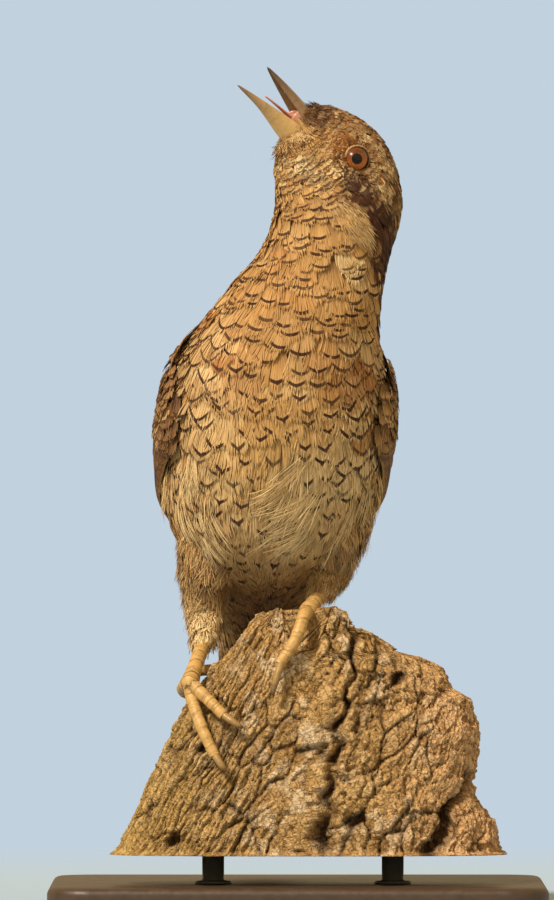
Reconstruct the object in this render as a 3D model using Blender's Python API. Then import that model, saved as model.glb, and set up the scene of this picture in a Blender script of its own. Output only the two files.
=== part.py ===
"""A life-size wryneck, a small brown woodpecker, gripping the broken top of a leaning trunk.

Everything is in millimetres until an object is made, and MM turns it to metres. +Z is up, the
breast looks along -Y, and +X is the bird's left. The origin is the middle of the stand's underside.

The flesh is one long form: cross-sections carried from the tail's tip up through the trunk and
neck and over the head to the root of the bill. It is parted with thin cuts. Wings, thighs, legs,
toes and claws are forms of their own, laid on it or cut to fit it.
"""

import math

import bmesh
import bpy
import numpy as np

MM = 0.001
GAP = 0.3  # clear space between two pieces that touch

# --- the bird's form -----------------------------------------------------------------------
# One row for each named cross-section, tail to bill: the middle of the section; then how far, in
# degrees, it faces to the bird's right (heading), how far its axis nods the way it faces and how
# far it leans to the bird's left; then its half width and its depth to the back and to the front.
SECTIONS = {
    #              x      y      z     head  nod  lean  side  back  front
    "tail_tip": (-7.5, 39.0, 13.5, 0, 36, 0, 10.0, 0.7, 0.7),
    "tail_mid": (-7.2, 25.5, 33.0, 0, 34, 0, 12.0, 1.1, 1.1),
    "tail_root": (-7.0, 12.0, 52.0, 0, 33, 0, 8.8, 3.6, 4.2),
    "vent": (-7.0, 3.0, 63.0, 0, 30, 0, 11.6, 9.2, 7.4),
    "lower_belly": (-6.3, -3.0, 70.5, 0, 28, 0, 16.2, 13.6, 12.2),
    "belly": (-5.6, -8.5, 79.5, 0, 26, 0, 20.8, 17.4, 17.8),
    "flank": (-5.0, -13.5, 89.5, 0, 25, 0, 21.8, 19.2, 19.4),
    "breast": (-4.2, -18.0, 100.0, 0, 24, 0, 21.6, 19.0, 19.2),
    "shoulder": (-2.9, -21.0, 110.5, 3, 19, 4, 20.0, 17.0, 17.4),
    "neck_base": (0.9, -22.6, 120.5, 12, 12, 12, 16.0, 14.2, 14.8),
    "neck": (5.2, -22.8, 130.0, 32, 6, 13, 13.0, 12.8, 13.4),
    "nape": (8.0, -22.3, 139.4, 55, 1, 5, 11.8, 13.5, 13.5),
    "occiput": (7.5, -22.5, 145.3, 61, 13, 1, 10.4, 13.4, 13.2),
    "eyes": (6.0, -23.2, 150.1, 64, 25, 0, 8.5, 12.0, 12.3),
    "lores": (3.6, -24.3, 153.8, 65, 35, 0, 6.3, 9.4, 10.8),
    "face": (1.7, -25.2, 156.2, 65, 40, 0, 4.7, 7.0, 8.0),
    "bill_root": (0.7, -25.7, 157.3, 65, 42, 0, 3.3, 5.2, 5.4),
}
PLACE = {name: float(i) for i, name in enumerate(SECTIONS)}
TRUNK_SPAN = (PLACE["tail_root"] + 0.25, PLACE["neck_base"] - 0.25)
NECK_SPAN = (TRUNK_SPAN[1], PLACE["nape"] + 0.2)
HEAD_SPAN = (NECK_SPAN[1], PLACE["bill_root"])
TAIL_SPAN = (PLACE["tail_tip"], TRUNK_SPAN[0])
TAIL_ROUND = 0.55  # share of a section over which the tail's tip is rounded off

# --- head details ----------------------------------------------------------------------------
HEAD_HEADING = 65.0  # degrees the head is turned to the bird's right
BILL_PITCH = 48.0  # degrees the bill points above level
EYE_MIDDLE = np.array([8.9, -22.0, 149.5])  # midway between the two eyes
EYE_RADIUS = 3.1
EYE_OUT = 6.1  # an eyeball's centre from the head's mid-plane
BILL_BASE = np.array([0.1, -26.0, 157.5])
UPPER_BILL = {"lift": 1.95, "pitch": 49.0, "length": 12.4, "half_width": 2.6, "height": 3.1}
LOWER_BILL = {"lift": -2.25, "pitch": 36.5, "length": 14.4, "half_width": 2.4, "height": 2.3}
TONGUE_LENGTH = 8.5

# --- wings: edges as angles round the body, from the breast's midline, at places along it ------
WING_PLACES = (7.85, 7.4, 6.6, 5.6, 4.6, 3.6, 2.4, 1.35)
WING_FRONT_EDGE = (88, 72, 68, 84, 104, 116, 131, 158)
WING_BACK_EDGE = (102, 133, 150, 160, 166, 170, 172, 167)
WING_THICKNESS = (1.2, 2.7, 3.1, 2.7, 2.2, 1.8, 1.3, 0.7)

# --- legs --------------------------------------------------------------------------------------
TOE_RADIUS = 1.35
CLAW_RADIUS = 0.8

# --- perch: the leaning, broken trunk ------------------------------------------------------------
PERCH_BOTTOM, PERCH_TOP = 11.0, 61.4
PERCH_HEIGHTS = (11, 18, 23, 34, 43, 44.5, 47, 49, 50, 52.5, 56, 59.5, 61.4)
PERCH_LEFT = (-37.8, -34.4, -32.2, -27.2, -22.7, -20.7, -19.2, -18.2, -16.2, -14.4, -11.8, -9.4, -6.8)
PERCH_RIGHT = (42.0, 40.0, 36.2, 37.2, 35.8, 34.8, 32.0, 27.0, 25.0, 17.8, 13.6, 11.4, 9.0)
PERCH_FRONT = (-31.0, -30.9, -30.7, -30.0, -28.8, -28.6, -28.2, -27.8, -27.7, -27.3, -26.6, -25.6, -24.4)
PERCH_BACK = (1.0, 0.0, -1.2, -4.0, -8.0, -8.8, -10.0, -11.0, -11.6, -12.9, -15.2, -17.4, -19.0)
GRAIN_SLOPE = math.radians(62.0)  # the wood's grain rises this steeply, to the bird's left
NOTCH = {"x": 1.4, "half_width": 3.1, "depth": 6.4, "from_z": 49.0}

# --- stand -----------------------------------------------------------------------------------------
BASE_HALF = (50.0, 42.0)
BASE_THICKNESS = 5.0
BASE_CORNER = 9.0
ROD_RADIUS = 2.2
ROD_PLACES = {"stand_rod_right": (-17.0, -15.0), "stand_rod_left": (19.0, -15.0)}

COLOURS = {  # linear colour, roughness
    "plumage_pale": ((0.50, 0.34, 0.16), 0.85),
    "plumage_brown": ((0.23, 0.14, 0.075), 0.85),
    "leg_scales": ((0.42, 0.28, 0.10), 0.5),
    "horn_brown": ((0.20, 0.13, 0.075), 0.35),
    "horn_pale": ((0.52, 0.38, 0.19), 0.4),
    "eye_brown": ((0.22, 0.06, 0.015), 0.05),
    "tongue_pink": ((0.50, 0.22, 0.17), 0.45),
    "dead_bark": ((0.36, 0.23, 0.12), 0.95),
    "stand_board": ((0.055, 0.042, 0.033), 0.45),
    "stand_steel": ((0.10, 0.10, 0.10), 0.35),
}


def clear_scene():
    for thing in list(bpy.data.objects):
        bpy.data.objects.remove(thing)


def material(name):
    """The Principled material of that name, made once."""
    if name in bpy.data.materials:
        return bpy.data.materials[name]
    made = bpy.data.materials.new(name)
    made.use_nodes = True
    shader = made.node_tree.nodes["Principled BSDF"]
    colour, roughness = COLOURS[name]
    shader.inputs["Base Color"].default_value = (*colour, 1.0)
    shader.inputs["Roughness"].default_value = roughness
    shader.inputs["Metallic"].default_value = 1.0 if name == "stand_steel" else 0.0
    return made


# ------------------------------------------------------------------------------- vectors and curves


def unit(vector):
    return vector / np.linalg.norm(vector, axis=-1, keepdims=True)


def smooth_table(rows, places):
    """Rows of numbers read at fractional row numbers, along a Catmull-Rom curve."""
    rows = np.asarray(rows, float)
    padded = np.vstack([2 * rows[0] - rows[1], rows, 2 * rows[-1] - rows[-2]])
    places = np.clip(np.asarray(places, float), 0, len(rows) - 1)
    first = np.minimum(places.astype(int), len(rows) - 2)
    t = (places - first)[:, None]
    a, b, c, d = (padded[first + k] for k in range(4))
    return 0.5 * (2 * b + (c - a) * t + (2 * a - 5 * b + 4 * c - d) * t**2 + (3 * b - a - 3 * c + d) * t**3)


def facing(heading):
    """Level unit vectors the way a section faces, and to the bird's left of it."""
    turn = np.radians(heading)
    ahead = np.stack([-np.sin(turn), -np.cos(turn), 0 * turn], axis=-1)
    left = np.stack([np.cos(turn), -np.sin(turn), 0 * turn], axis=-1)
    return ahead, left


def body_frame(places):
    """Centre, left and front vectors, and the three radii, of the body's sections at these places."""
    rows = smooth_table(list(SECTIONS.values()), places)
    ahead, left = facing(rows[:, 3])
    nod, lean = np.radians(rows[:, 4:5]), np.radians(rows[:, 5:6])
    axis = unit(np.sin(nod) * ahead + np.sin(lean) * left + np.cos(nod) * np.cos(lean) * [0.0, 0.0, 1.0])
    front = unit(ahead - (ahead * axis).sum(-1, keepdims=True) * axis)
    return rows[:, :3], np.cross(axis, front), front, rows[:, 6], rows[:, 7], rows[:, 8]


def body_point(places, angles, grow=0.0):
    """Points on the body. The angle runs from the breast's midline towards the bird's left side."""
    places, angles = np.broadcast_arrays(np.asarray(places, float), np.asarray(angles, float))
    shape = places.shape
    centre, left, front, side, back, fore = body_frame(places.ravel())
    angle = angles.ravel()
    across = np.sin(angle) * (side + grow)
    deep = np.cos(angle) * (np.where(np.cos(angle) > 0, fore, back) + grow)
    return (centre + left * across[:, None] + front * deep[:, None]).reshape(*shape, 3)


def body_normal(places, angles):
    """Outward unit normals of the body, from its slopes both ways."""
    step = 0.01
    along = body_point(places + step, angles) - body_point(places - step, angles)
    round_it = body_point(places, angles + step) - body_point(places, angles - step)
    return unit(np.cross(round_it, along))


def head_axes(pitch):
    """Forward, up and left unit vectors of the head for a line at this pitch above level."""
    ahead, left = facing(np.float64(HEAD_HEADING))
    rise = math.radians(pitch)
    forward = math.cos(rise) * ahead + math.sin(rise) * np.array([0, 0, 1.0])
    return forward, np.cross(forward, left), left


# --------------------------------------------------------------------------------- making solids


def finish_object(name, bm, kind, shown=True):
    mesh = bpy.data.meshes.new(name)
    bmesh.ops.recalc_face_normals(bm, faces=bm.faces[:])
    bm.to_mesh(mesh)
    bm.free()
    mesh.shade_smooth()
    mesh.set_sharp_from_angle(angle=math.radians(50))
    made = bpy.data.objects.new(name, mesh)
    bpy.context.scene.collection.objects.link(made)
    made.data.materials.append(material(kind))
    if not shown:
        made.hide_render = True
        made.display_type = "WIRE"
    return made


def loft(name, rings, kind, shown=True, laced=False):
    """One closed solid skinned over rings of points in mm, with a flat or pointed cap at each end.

    A laced last ring is closed by a strip from its front half across to its back half.
    """
    bm = bmesh.new()
    loops = [[bm.verts.new(point * MM) for point in ring] for ring in rings]
    for low, high in zip(loops, loops[1:]):
        for i in range(len(low)):
            j = (i + 1) % len(low)
            bm.faces.new((low[i], low[j], high[j], high[i]))
    caps = [bm.faces.new(loop) for loop in (loops[0], loops[-1])[: 1 if laced else 2]]
    bmesh.ops.poke(bm, faces=caps)
    if laced:
        top, count = loops[-1], len(loops[-1])
        for i in range(count // 2):
            strip = [top[i], top[i + 1], top[count - i - 1], top[(count - i) % count]]
            bm.faces.new(list(dict.fromkeys(strip)))
    return finish_object(name, bm, kind, shown)


def round_ring(centre, across, up, half_width, half_height, segments, power=2.0):
    """A closed super-ellipse of points about a centre, in the plane of two unit vectors."""
    turn = np.linspace(0, 2 * math.pi, segments, endpoint=False)[:, None]
    c, s = np.cos(turn), np.sin(turn)
    wide = np.sign(c) * np.abs(c) ** (2 / power) * half_width
    high = np.sign(s) * np.abs(s) ** (2 / power) * half_height
    return centre + across * wide + up * high


def tube(name, route, radii, kind, segments=12, per_span=4, shown=True):
    """A round limb along a smooth curve through the route's points, its radius smoothed as well."""
    rows = np.hstack([np.asarray(route, float), np.asarray(radii, float)[:, None]])
    steps = np.linspace(0, len(rows) - 1, per_span * (len(rows) - 1) + 1)
    dense = smooth_table(rows, steps)
    centres = dense[:, :3]
    ahead = unit(np.gradient(centres, axis=0))
    side = unit(np.cross(ahead[0], [0.31, 0.17, 0.93]))
    rings = []
    for centre, direction, radius in zip(centres, ahead, dense[:, 3]):
        side = unit(side - direction * np.dot(side, direction))
        rings.append(round_ring(centre, side, np.cross(direction, side), radius, radius, segments))
    return loft(name, rings, kind, shown)


def ball(name, centre, radius, kind, segments, rings, shown=True):
    bm = bmesh.new()
    bmesh.ops.create_uvsphere(bm, u_segments=segments, v_segments=rings, radius=radius * MM)
    bmesh.ops.translate(bm, verts=bm.verts[:], vec=[c * MM for c in centre])
    return finish_object(name, bm, kind, shown)


def boolean(target, other, operation):
    cut = target.modifiers.new(f"{operation.lower()}_{other.name}", "BOOLEAN")
    cut.operation = operation
    cut.solver = "EXACT"
    cut.object = other


# ----------------------------------------------------------------------------------- the body


def body_rings(span, count, segments, grow=0.0, inset=0.0):
    """Rings of the body between two places, stopping short of both by inset mm."""
    start, end = span
    ends = body_frame(np.array([start, start + 0.1, end - 0.1, end]))[0]
    first = start + 0.1 * inset / np.linalg.norm(ends[1] - ends[0])
    last = end - 0.1 * inset / np.linalg.norm(ends[3] - ends[2])
    angles = np.linspace(0, 2 * math.pi, segments, endpoint=False)
    return [body_point(np.full(segments, place), angles, grow) for place in np.linspace(first, last, count)]


def make_trunk_neck_head():
    loft("trunk", body_rings(TRUNK_SPAN, 20, 26, inset=GAP / 2), "plumage_pale")
    loft("neck", body_rings(NECK_SPAN, 9, 26, inset=GAP / 2), "plumage_pale")
    head = loft("head", body_rings(HEAD_SPAN, 14, 26, inset=GAP / 2), "plumage_brown")
    return head


def make_tail():
    """The folded tail: the body's last, flat sections, rounded off at the tip."""
    angles = np.linspace(0, 2 * math.pi, 20, endpoint=False)
    start, end = TAIL_SPAN
    rings = []
    for share in np.linspace(0, 1, 13) ** 1.5:
        place = start + share * (end - start - 0.02)
        ring = body_point(np.full(len(angles), place), angles)
        middle = ring.mean(axis=0)
        narrow = math.sqrt(max(0.08, 1 - max(0.0, 1 - (place - start) / TAIL_ROUND) ** 2))
        rings.append(middle + (ring - middle) * [narrow, 1.0, 1.0])
    loft("tail", rings, "plumage_brown")


def wing_surface(sign, place, share, height):
    """A point over the folded wing: share runs 0 to 1 from its front edge to its back edge."""
    order = np.argsort(WING_PLACES)
    known = np.array(WING_PLACES)[order]
    front = np.interp(place, known, np.array(WING_FRONT_EDGE)[order])
    back = np.interp(place, known, np.array(WING_BACK_EDGE)[order])
    thick = np.interp(place, known, np.array(WING_THICKNESS)[order])
    angle = np.radians(front + share * (back - front)) * sign
    bulge = np.sqrt(np.clip(1 - (2 * share - 1) ** 4, 0, 1))
    lift = GAP * 1.5 + height * thick * (0.25 + 0.75 * bulge)
    base = body_point(place, angle)
    return base + body_normal(place, angle) * lift[..., None]


def make_wing(name, sign):
    """A shell over the body's side, from the wrist by the breast to the long tips over the tail."""
    along = np.linspace(WING_PLACES[0], WING_PLACES[-1], 22)
    across = np.linspace(0, 1, 7)
    rings = []
    for place in along:
        outer = wing_surface(sign, np.full(len(across), place), across, np.ones(len(across)))
        inner = wing_surface(sign, np.full(len(across), place), across[::-1], np.zeros(len(across)))
        rings.append(np.vstack([outer, inner]))
    loft(name, rings, "plumage_brown")


# ----------------------------------------------------------------------------------- the head


def make_eyes(head):
    left = head_axes(BILL_PITCH)[2]
    for name, sign in (("eye_left", 1), ("eye_right", -1)):
        centre = EYE_MIDDLE + left * EYE_OUT * sign
        socket = ball("socket_of_" + name, centre, EYE_RADIUS + GAP, "plumage_brown", 14, 10, shown=False)
        boolean(head, socket, "DIFFERENCE")
        ball(name, centre, EYE_RADIUS, "eye_brown", 14, 10)


def half_bill(name, form, side, kind):
    """One half of the bill: a wedge, rounded outside and flat where the halves meet, drawn to a point."""
    forward, up, left = head_axes(form["pitch"])
    root_up = head_axes(BILL_PITCH)[1]
    start = BILL_BASE + root_up * form["lift"] + forward * GAP
    turn = np.linspace(0, math.pi, 8)
    rings = []
    for share in (0, 0.12, 0.28, 0.46, 0.64, 0.8, 0.92, 1.0):
        shrink = (1 - share) ** 0.8 * 0.9 + 0.1
        centre = start + forward * form["length"] * share - up * side * form["height"] * 0.5 * shrink
        sag = form["height"] * (0.10 * math.sin(math.pi * share))
        outer = centre + left * np.cos(turn)[:, None] * form["half_width"] * shrink ** 1.15
        outer = outer + up * side * np.sin(turn)[:, None] * (form["height"] * shrink + sag * 0.5)
        rings.append(outer)
    return loft(name, rings, kind)


def make_bill():
    half_bill("bill_upper", UPPER_BILL, 1, "horn_brown")
    half_bill("bill_lower", LOWER_BILL, -1, "horn_pale")
    forward, up, left = head_axes(LOWER_BILL["pitch"])
    start = BILL_BASE + head_axes(BILL_PITCH)[1] * (LOWER_BILL["lift"] + 1.75) + forward * GAP
    rings = []
    for share in (0, 0.25, 0.5, 0.75, 1.0):
        centre = start + forward * TONGUE_LENGTH * share + up * 0.15 * share
        rings.append(round_ring(centre, left, up, 1.1 - 0.8 * share, 0.38 - 0.12 * share, 8))
    loft("tongue", rings, "tongue_pink")


# ----------------------------------------------------------------------------------- the perch


def perch_outline(z):
    """Centre and half sizes, in x and in y, of the trunk's section at height z."""
    left, right, front, back = (
        np.interp(z, PERCH_HEIGHTS, edge) for edge in (PERCH_LEFT, PERCH_RIGHT, PERCH_FRONT, PERCH_BACK)
    )
    return (left + right) / 2, (front + back) / 2, (right - left) / 2, (back - front) / 2


def perch_face(x, z, side):
    """The y of the trunk's front (side -1) or back (side 1) over a point, before bark is carved."""
    mid_x, mid_y, half_x, half_y = perch_outline(z)
    reach = np.clip(np.abs((x - mid_x) / half_x), 0, 0.999)
    return mid_y + side * half_y * (1 - reach**2.8) ** (1 / 2.8)


def make_perch():
    """Rings up the trunk, boxy ovals that close over the broken top, carved inwards by ridged bark."""
    segments, count = 40, 17
    turn = np.linspace(0, 2 * math.pi, segments, endpoint=False)
    wave_x, wave_y = np.cos(turn), np.sin(turn)
    rings = []
    for share in np.linspace(0, 1, count):
        z = PERCH_BOTTOM + (PERCH_TOP - PERCH_BOTTOM) * (1 - (1 - share) ** 1.35)
        mid_x, mid_y, half_x, half_y = perch_outline(z)
        x = mid_x + half_x * np.sign(wave_x) * np.abs(wave_x) ** (2 / 2.8)
        y = mid_y + half_y * np.sign(wave_y) * np.abs(wave_y) ** (2 / 2.8)
        across_grain = x * math.sin(GRAIN_SLOPE) - z * math.cos(GRAIN_SLOPE)
        ridge = np.abs(np.sin(across_grain * 0.42 + 0.8 * np.sin(z * 0.13 + y * 0.2)))
        carve = (0.9 * (1 - ridge) + 0.35 * (1 + np.sin(z * 0.9 + x * 0.35))) * min(1.0, share * 8)
        y = y - np.sign(wave_y) * np.minimum(carve, np.abs(y - mid_y) * 0.5)
        dip = np.exp(-(((x - NOTCH["x"]) / NOTCH["half_width"]) ** 4))
        rise = np.clip((z - NOTCH["from_z"]) / (PERCH_TOP - NOTCH["from_z"]), 0, 1)
        rings.append(np.stack([x, y, z - NOTCH["depth"] * dip * rise], axis=-1))
    loft("perch", rings, "dead_bark", laced=True)


# ----------------------------------------------------------------------------------- the legs


def on_perch(x, z, side, radius, lift=0.15):
    """Centre of a ball of this radius that rests against the trunk's front or back face."""
    step = np.linspace(-0.98, 0.98, 9) * radius
    over, up = np.meshgrid(step, step)
    bulge = np.sqrt(np.clip(radius**2 - over**2 - up**2, 0, None))
    reach = np.where(over**2 + up**2 < radius**2, side * perch_face(x + over, z + up, side) + bulge, -1e9)
    return [x, side * (float(reach.max()) + lift), z]


def toe_routes():
    """For each leg its joints, and for each toe the points of its run and where its claw pricks in."""
    front, back, r = -1, 1, TOE_RADIUS
    return {
        "right": {
            "thigh": ((-14.5, -11.0, 79.0), (-18.4, -12.2, 68.0), (-18.6, -11.2, 59.5), (-18.8, -13.4, 53.8)),
            "ball": (-21.6, -25.4, 45.6),
            "thigh_radii": (9.0, 5.4, 3.5, 2.5),
            "toes": {
                3: [on_perch(-21.2, 42.4, front, r), on_perch(-19.2, 36.6, front, r),
                    on_perch(-16.6, 31.0, front, r * 0.8)],
                2: [on_perch(-18.0, 42.2, front, r * 0.9), on_perch(-14.8, 39.0, front, r * 0.8)],
                4: [(-22.7, -20.8, 44.8), (-22.9, -13.8, 43.6), on_perch(-19.6, 41.6, back, r * 0.8)],
                1: [(-21.5, -20.2, 46.3), (-20.5, -13.6, 47.5), on_perch(-16.8, 48.0, back, r * 0.8)],
            },
            "claw_tips": {3: (-14.3, 28.2, front), 2: (-10.8, 36.6, front),
                          4: (-15.6, 38.4, back), 1: (-12.0, 46.6, back)},
        },
        "left": {
            "thigh": ((6.5, -13.0, 80.0), (7.4, -15.0, 73.5), (6.6, -13.2, 68.0), (5.0, -15.0, 64.0)),
            "ball": (1.9, -21.4, 59.6),
            "thigh_radii": (9.0, 5.8, 4.0, 2.7),
            "toes": {
                3: [(1.2, -26.0, 59.0), on_perch(0.2, 56.0, front, r, 0.3),
                    on_perch(-1.4, 52.6, front, r), on_perch(-3.7, 49.4, front, r * 0.85)],
                2: [(0.6, -17.0, 58.8), on_perch(-3.4, 55.6, back, r), on_perch(-6.4, 53.0, back, r * 0.8)],
                4: [(3.4, -17.4, 58.8), on_perch(6.4, 54.0, back, r), on_perch(8.4, 50.4, back, r * 0.8)],
                1: [(1.9, -16.8, 58.2), on_perch(1.4, 53.0, back, r)],
            },
            "claw_tips": {3: (-4.9, 42.6, front), 2: (-8.6, 48.0, back),
                          4: (9.8, 44.8, back), 1: (0.8, 48.0, back)},
        },
    }


def make_leg(side_name, form, trunk_cutter):
    thigh = tube(f"thigh_{side_name}", form["thigh"], form["thigh_radii"], "plumage_pale", 14)
    boolean(thigh, trunk_cutter, "DIFFERENCE")
    cuff, ball_at = np.array(form["thigh"][-1]), np.array(form["ball"])
    down = unit(ball_at - cuff)
    length = np.linalg.norm(ball_at - cuff)
    route = [cuff - down, cuff + down * length * 0.4, ball_at - down * 3.0, ball_at - down * 1.3]
    radii = np.array([1.55, 1.4, 1.5, 1.55])
    tube(f"tarsus_{side_name}", route, radii, "leg_scales", 12, 2)
    socket = tube(
        f"socket_{side_name}", [cuff - down * 1.4, *route[1:3], ball_at - down], radii + GAP, "leg_scales",
        12, 2, shown=False,
    )
    boolean(thigh, socket, "DIFFERENCE")
    foot = ball(f"foot_{side_name}", ball_at, 1.9, "leg_scales", 10, 6)
    for number, route in form["toes"].items():
        root = np.array(route[0]) - ball_at
        points = [ball_at + unit(root) * 0.2, *route]
        radii = np.linspace(TOE_RADIUS, TOE_RADIUS * 0.75, len(points))
        toe = tube(f"toe_{side_name}_{number}", points, radii, "leg_scales", 8, 2, shown=False)
        boolean(foot, toe, "UNION")
        make_claw(side_name, number, points, form["claw_tips"][number])
    boolean(foot, socket, "DIFFERENCE")


def make_claw(side_name, number, toe_points, tip):
    """A hooked cone from the toe's end to its tip, which pricks the bark."""
    end, before = np.array(toe_points[-1]), np.array(toe_points[-2])
    ahead = unit(end - before)
    x, z, side = tip
    point = np.array([x, float(perch_face(x, z, side)) + side * (GAP + 0.1), z])
    start = end + ahead * (GAP + 0.1)
    out = np.array([0, side, 0.0])
    middle = (start + point) / 2 + out * 0.5 + ahead * 0.5
    tube(
        f"claw_{side_name}_{number}", [start, middle, point],
        (CLAW_RADIUS, CLAW_RADIUS * 0.62, 0.14), "horn_brown", 7, 3,
    )


# ----------------------------------------------------------------------------------- the stand


def make_stand():
    bm = bmesh.new()
    corners = [(1, 1), (-1, 1), (-1, -1), (1, -1)]
    outline = []
    for quarter, (sx, sy) in enumerate(corners):
        for step in range(5):
            turn = math.radians(90 * quarter + 22.5 * step)
            x = sx * (BASE_HALF[0] - BASE_CORNER) + BASE_CORNER * math.cos(turn)
            y = sy * (BASE_HALF[1] - BASE_CORNER) + BASE_CORNER * math.sin(turn)
            outline.append(bm.verts.new((x * MM, y * MM, 0)))
    floor = bm.faces.new(outline)
    raised = bmesh.ops.extrude_face_region(bm, geom=[floor])
    top = [v for v in raised["geom"] if isinstance(v, bmesh.types.BMVert)]
    bmesh.ops.translate(bm, verts=top, vec=(0, 0, BASE_THICKNESS * MM))
    board = finish_object("stand_base", bm, "stand_board")
    edge = board.modifiers.new("eased_edge", "BEVEL")
    edge.width = 0.8 * MM
    edge.segments = 1
    edge.limit_method = "ANGLE"
    for name, (x, y) in ROD_PLACES.items():
        low, high = BASE_THICKNESS + GAP, PERCH_BOTTOM - GAP
        across, deep = np.array([1.0, 0, 0]), np.array([0, 1.0, 0])
        rings = [
            round_ring(np.array([x, y, z]), across, deep, ROD_RADIUS, ROD_RADIUS, 16) for z in (low, high)
        ]
        loft(name, rings, "stand_steel")


def main():
    clear_scene()
    head = make_trunk_neck_head()
    make_tail()
    make_wing("wing_left", 1)
    make_wing("wing_right", -1)
    make_eyes(head)
    make_bill()
    make_perch()
    whole = (PLACE["tail_root"], PLACE["neck_base"])
    cutter = loft("trunk_cutter", body_rings(whole, 22, 26, grow=GAP), "plumage_pale", shown=False)
    for side_name, form in toe_routes().items():
        make_leg(side_name, form, cutter)
    make_stand()


main()
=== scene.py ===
import math

import bmesh
import bpy
import numpy as np
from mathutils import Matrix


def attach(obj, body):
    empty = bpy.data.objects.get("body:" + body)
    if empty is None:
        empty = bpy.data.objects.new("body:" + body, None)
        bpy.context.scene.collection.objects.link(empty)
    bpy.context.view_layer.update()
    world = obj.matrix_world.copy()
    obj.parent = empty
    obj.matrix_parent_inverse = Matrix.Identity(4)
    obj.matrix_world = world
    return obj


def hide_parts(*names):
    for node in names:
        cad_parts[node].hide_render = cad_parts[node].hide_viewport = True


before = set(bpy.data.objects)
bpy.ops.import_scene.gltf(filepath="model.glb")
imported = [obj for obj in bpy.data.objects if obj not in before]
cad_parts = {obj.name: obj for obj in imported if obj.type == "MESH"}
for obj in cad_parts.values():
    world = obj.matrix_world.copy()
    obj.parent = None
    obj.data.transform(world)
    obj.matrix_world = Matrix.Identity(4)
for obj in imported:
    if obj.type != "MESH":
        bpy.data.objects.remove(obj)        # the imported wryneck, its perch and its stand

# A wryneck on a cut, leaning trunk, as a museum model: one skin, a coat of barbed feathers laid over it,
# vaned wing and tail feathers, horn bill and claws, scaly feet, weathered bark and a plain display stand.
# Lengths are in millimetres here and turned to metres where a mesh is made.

MM = 0.001
ROUND = 2 * math.pi
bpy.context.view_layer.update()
RANDOM = np.random.default_rng(11)
CORNER_VALUES = np.random.default_rng(5).random(65536)
SIDES = ((1, "left"), (-1, "right"))

# --- the bird's body: sections from the tail's tip to the bill's root, as in the solids
SECTIONS = (  # x, y, z of the middle, heading, nod, lean in degrees, half width, depth behind, before
    (-7.5, 39.0, 13.5, 0, 36, 0, 10.0, 0.7, 0.7),  # 0 tail's tip
    (-7.2, 25.5, 33.0, 0, 34, 0, 12.0, 1.1, 1.1),
    (-7.0, 12.0, 52.0, 0, 33, 0, 8.8, 3.6, 4.2),  # 2 tail's root
    (-7.0, 3.0, 63.0, 0, 30, 0, 11.6, 9.2, 7.4),
    (-6.3, -3.0, 70.5, 0, 28, 0, 16.2, 13.6, 12.2),
    (-5.6, -8.5, 79.5, 0, 26, 0, 20.8, 17.4, 17.8),  # 5 belly
    (-5.0, -13.5, 89.5, 0, 25, 0, 21.8, 19.2, 19.4),
    (-4.2, -18.0, 100.0, 0, 24, 0, 21.6, 19.0, 19.2),  # 7 breast
    (-2.9, -21.0, 110.5, 3, 19, 4, 20.0, 17.0, 17.4),
    (0.9, -22.6, 120.5, 12, 12, 12, 16.0, 14.2, 14.8),  # 9 foot of the neck
    (5.2, -22.8, 130.0, 32, 6, 13, 13.0, 12.8, 13.4),
    (8.0, -22.3, 139.4, 55, 1, 5, 11.8, 13.5, 13.5),  # 11 nape
    (7.5, -22.5, 145.3, 61, 13, 1, 10.4, 13.4, 13.2),
    (6.0, -23.2, 150.1, 64, 25, 0, 8.5, 12.0, 12.3),  # 13 eyes
    (3.6, -24.3, 153.8, 65, 35, 0, 6.3, 9.4, 10.8),
    (1.7, -25.2, 156.2, 65, 40, 0, 4.7, 7.0, 8.0),
    (0.7, -25.7, 157.3, 65, 42, 0, 3.3, 5.2, 5.4),  # 16 bill's root
)
LAST = len(SECTIONS) - 1
COAT_START = 0.6  # the place where the body's sheet of feathers begins

# --- head
HEAD_HEADING, BILL_PITCH = 65.0, 48.0
EYE_MIDDLE = np.array([8.5, -22.2, 150.0])
EYE_RADIUS, EYE_OUT = 3.25, 6.0
BILL_BASE = np.array([0.1, -26.0, 157.5])
UPPER_BILL = {"lift": 1.95, "pitch": 49.0, "length": 12.4, "half_width": 2.5, "height": 3.0, "swell": 0.0}
LOWER_BILL = {"lift": -2.25, "pitch": 36.5, "length": 14.4, "half_width": 2.4, "height": 2.3, "swell": 0.75}
BILL_SUNK = 1.6  # how far the horn goes on under the feathers of the face
TONGUE_LENGTH = 8.5
GAP = 0.3
EAR_STRIPE = ((-1.2, -4.3), (-3.4, -5.3), (-5.6, -5.4), (-8.0, -4.9), (-11.8, -4.3), (-17.0, -4.8))

# --- wings: edges as angles round the body, at places along it
WING_PLACES = (1.35, 2.4, 3.6, 4.6, 5.6, 6.6, 7.4, 7.85)
WING_FRONT_EDGE = (158, 131, 116, 104, 84, 68, 72, 88)
WING_BACK_EDGE = (167, 172, 170, 166, 160, 150, 133, 102)
WING_THICKNESS = (0.7, 1.3, 1.8, 2.2, 2.7, 3.1, 2.7, 1.2)

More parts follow.
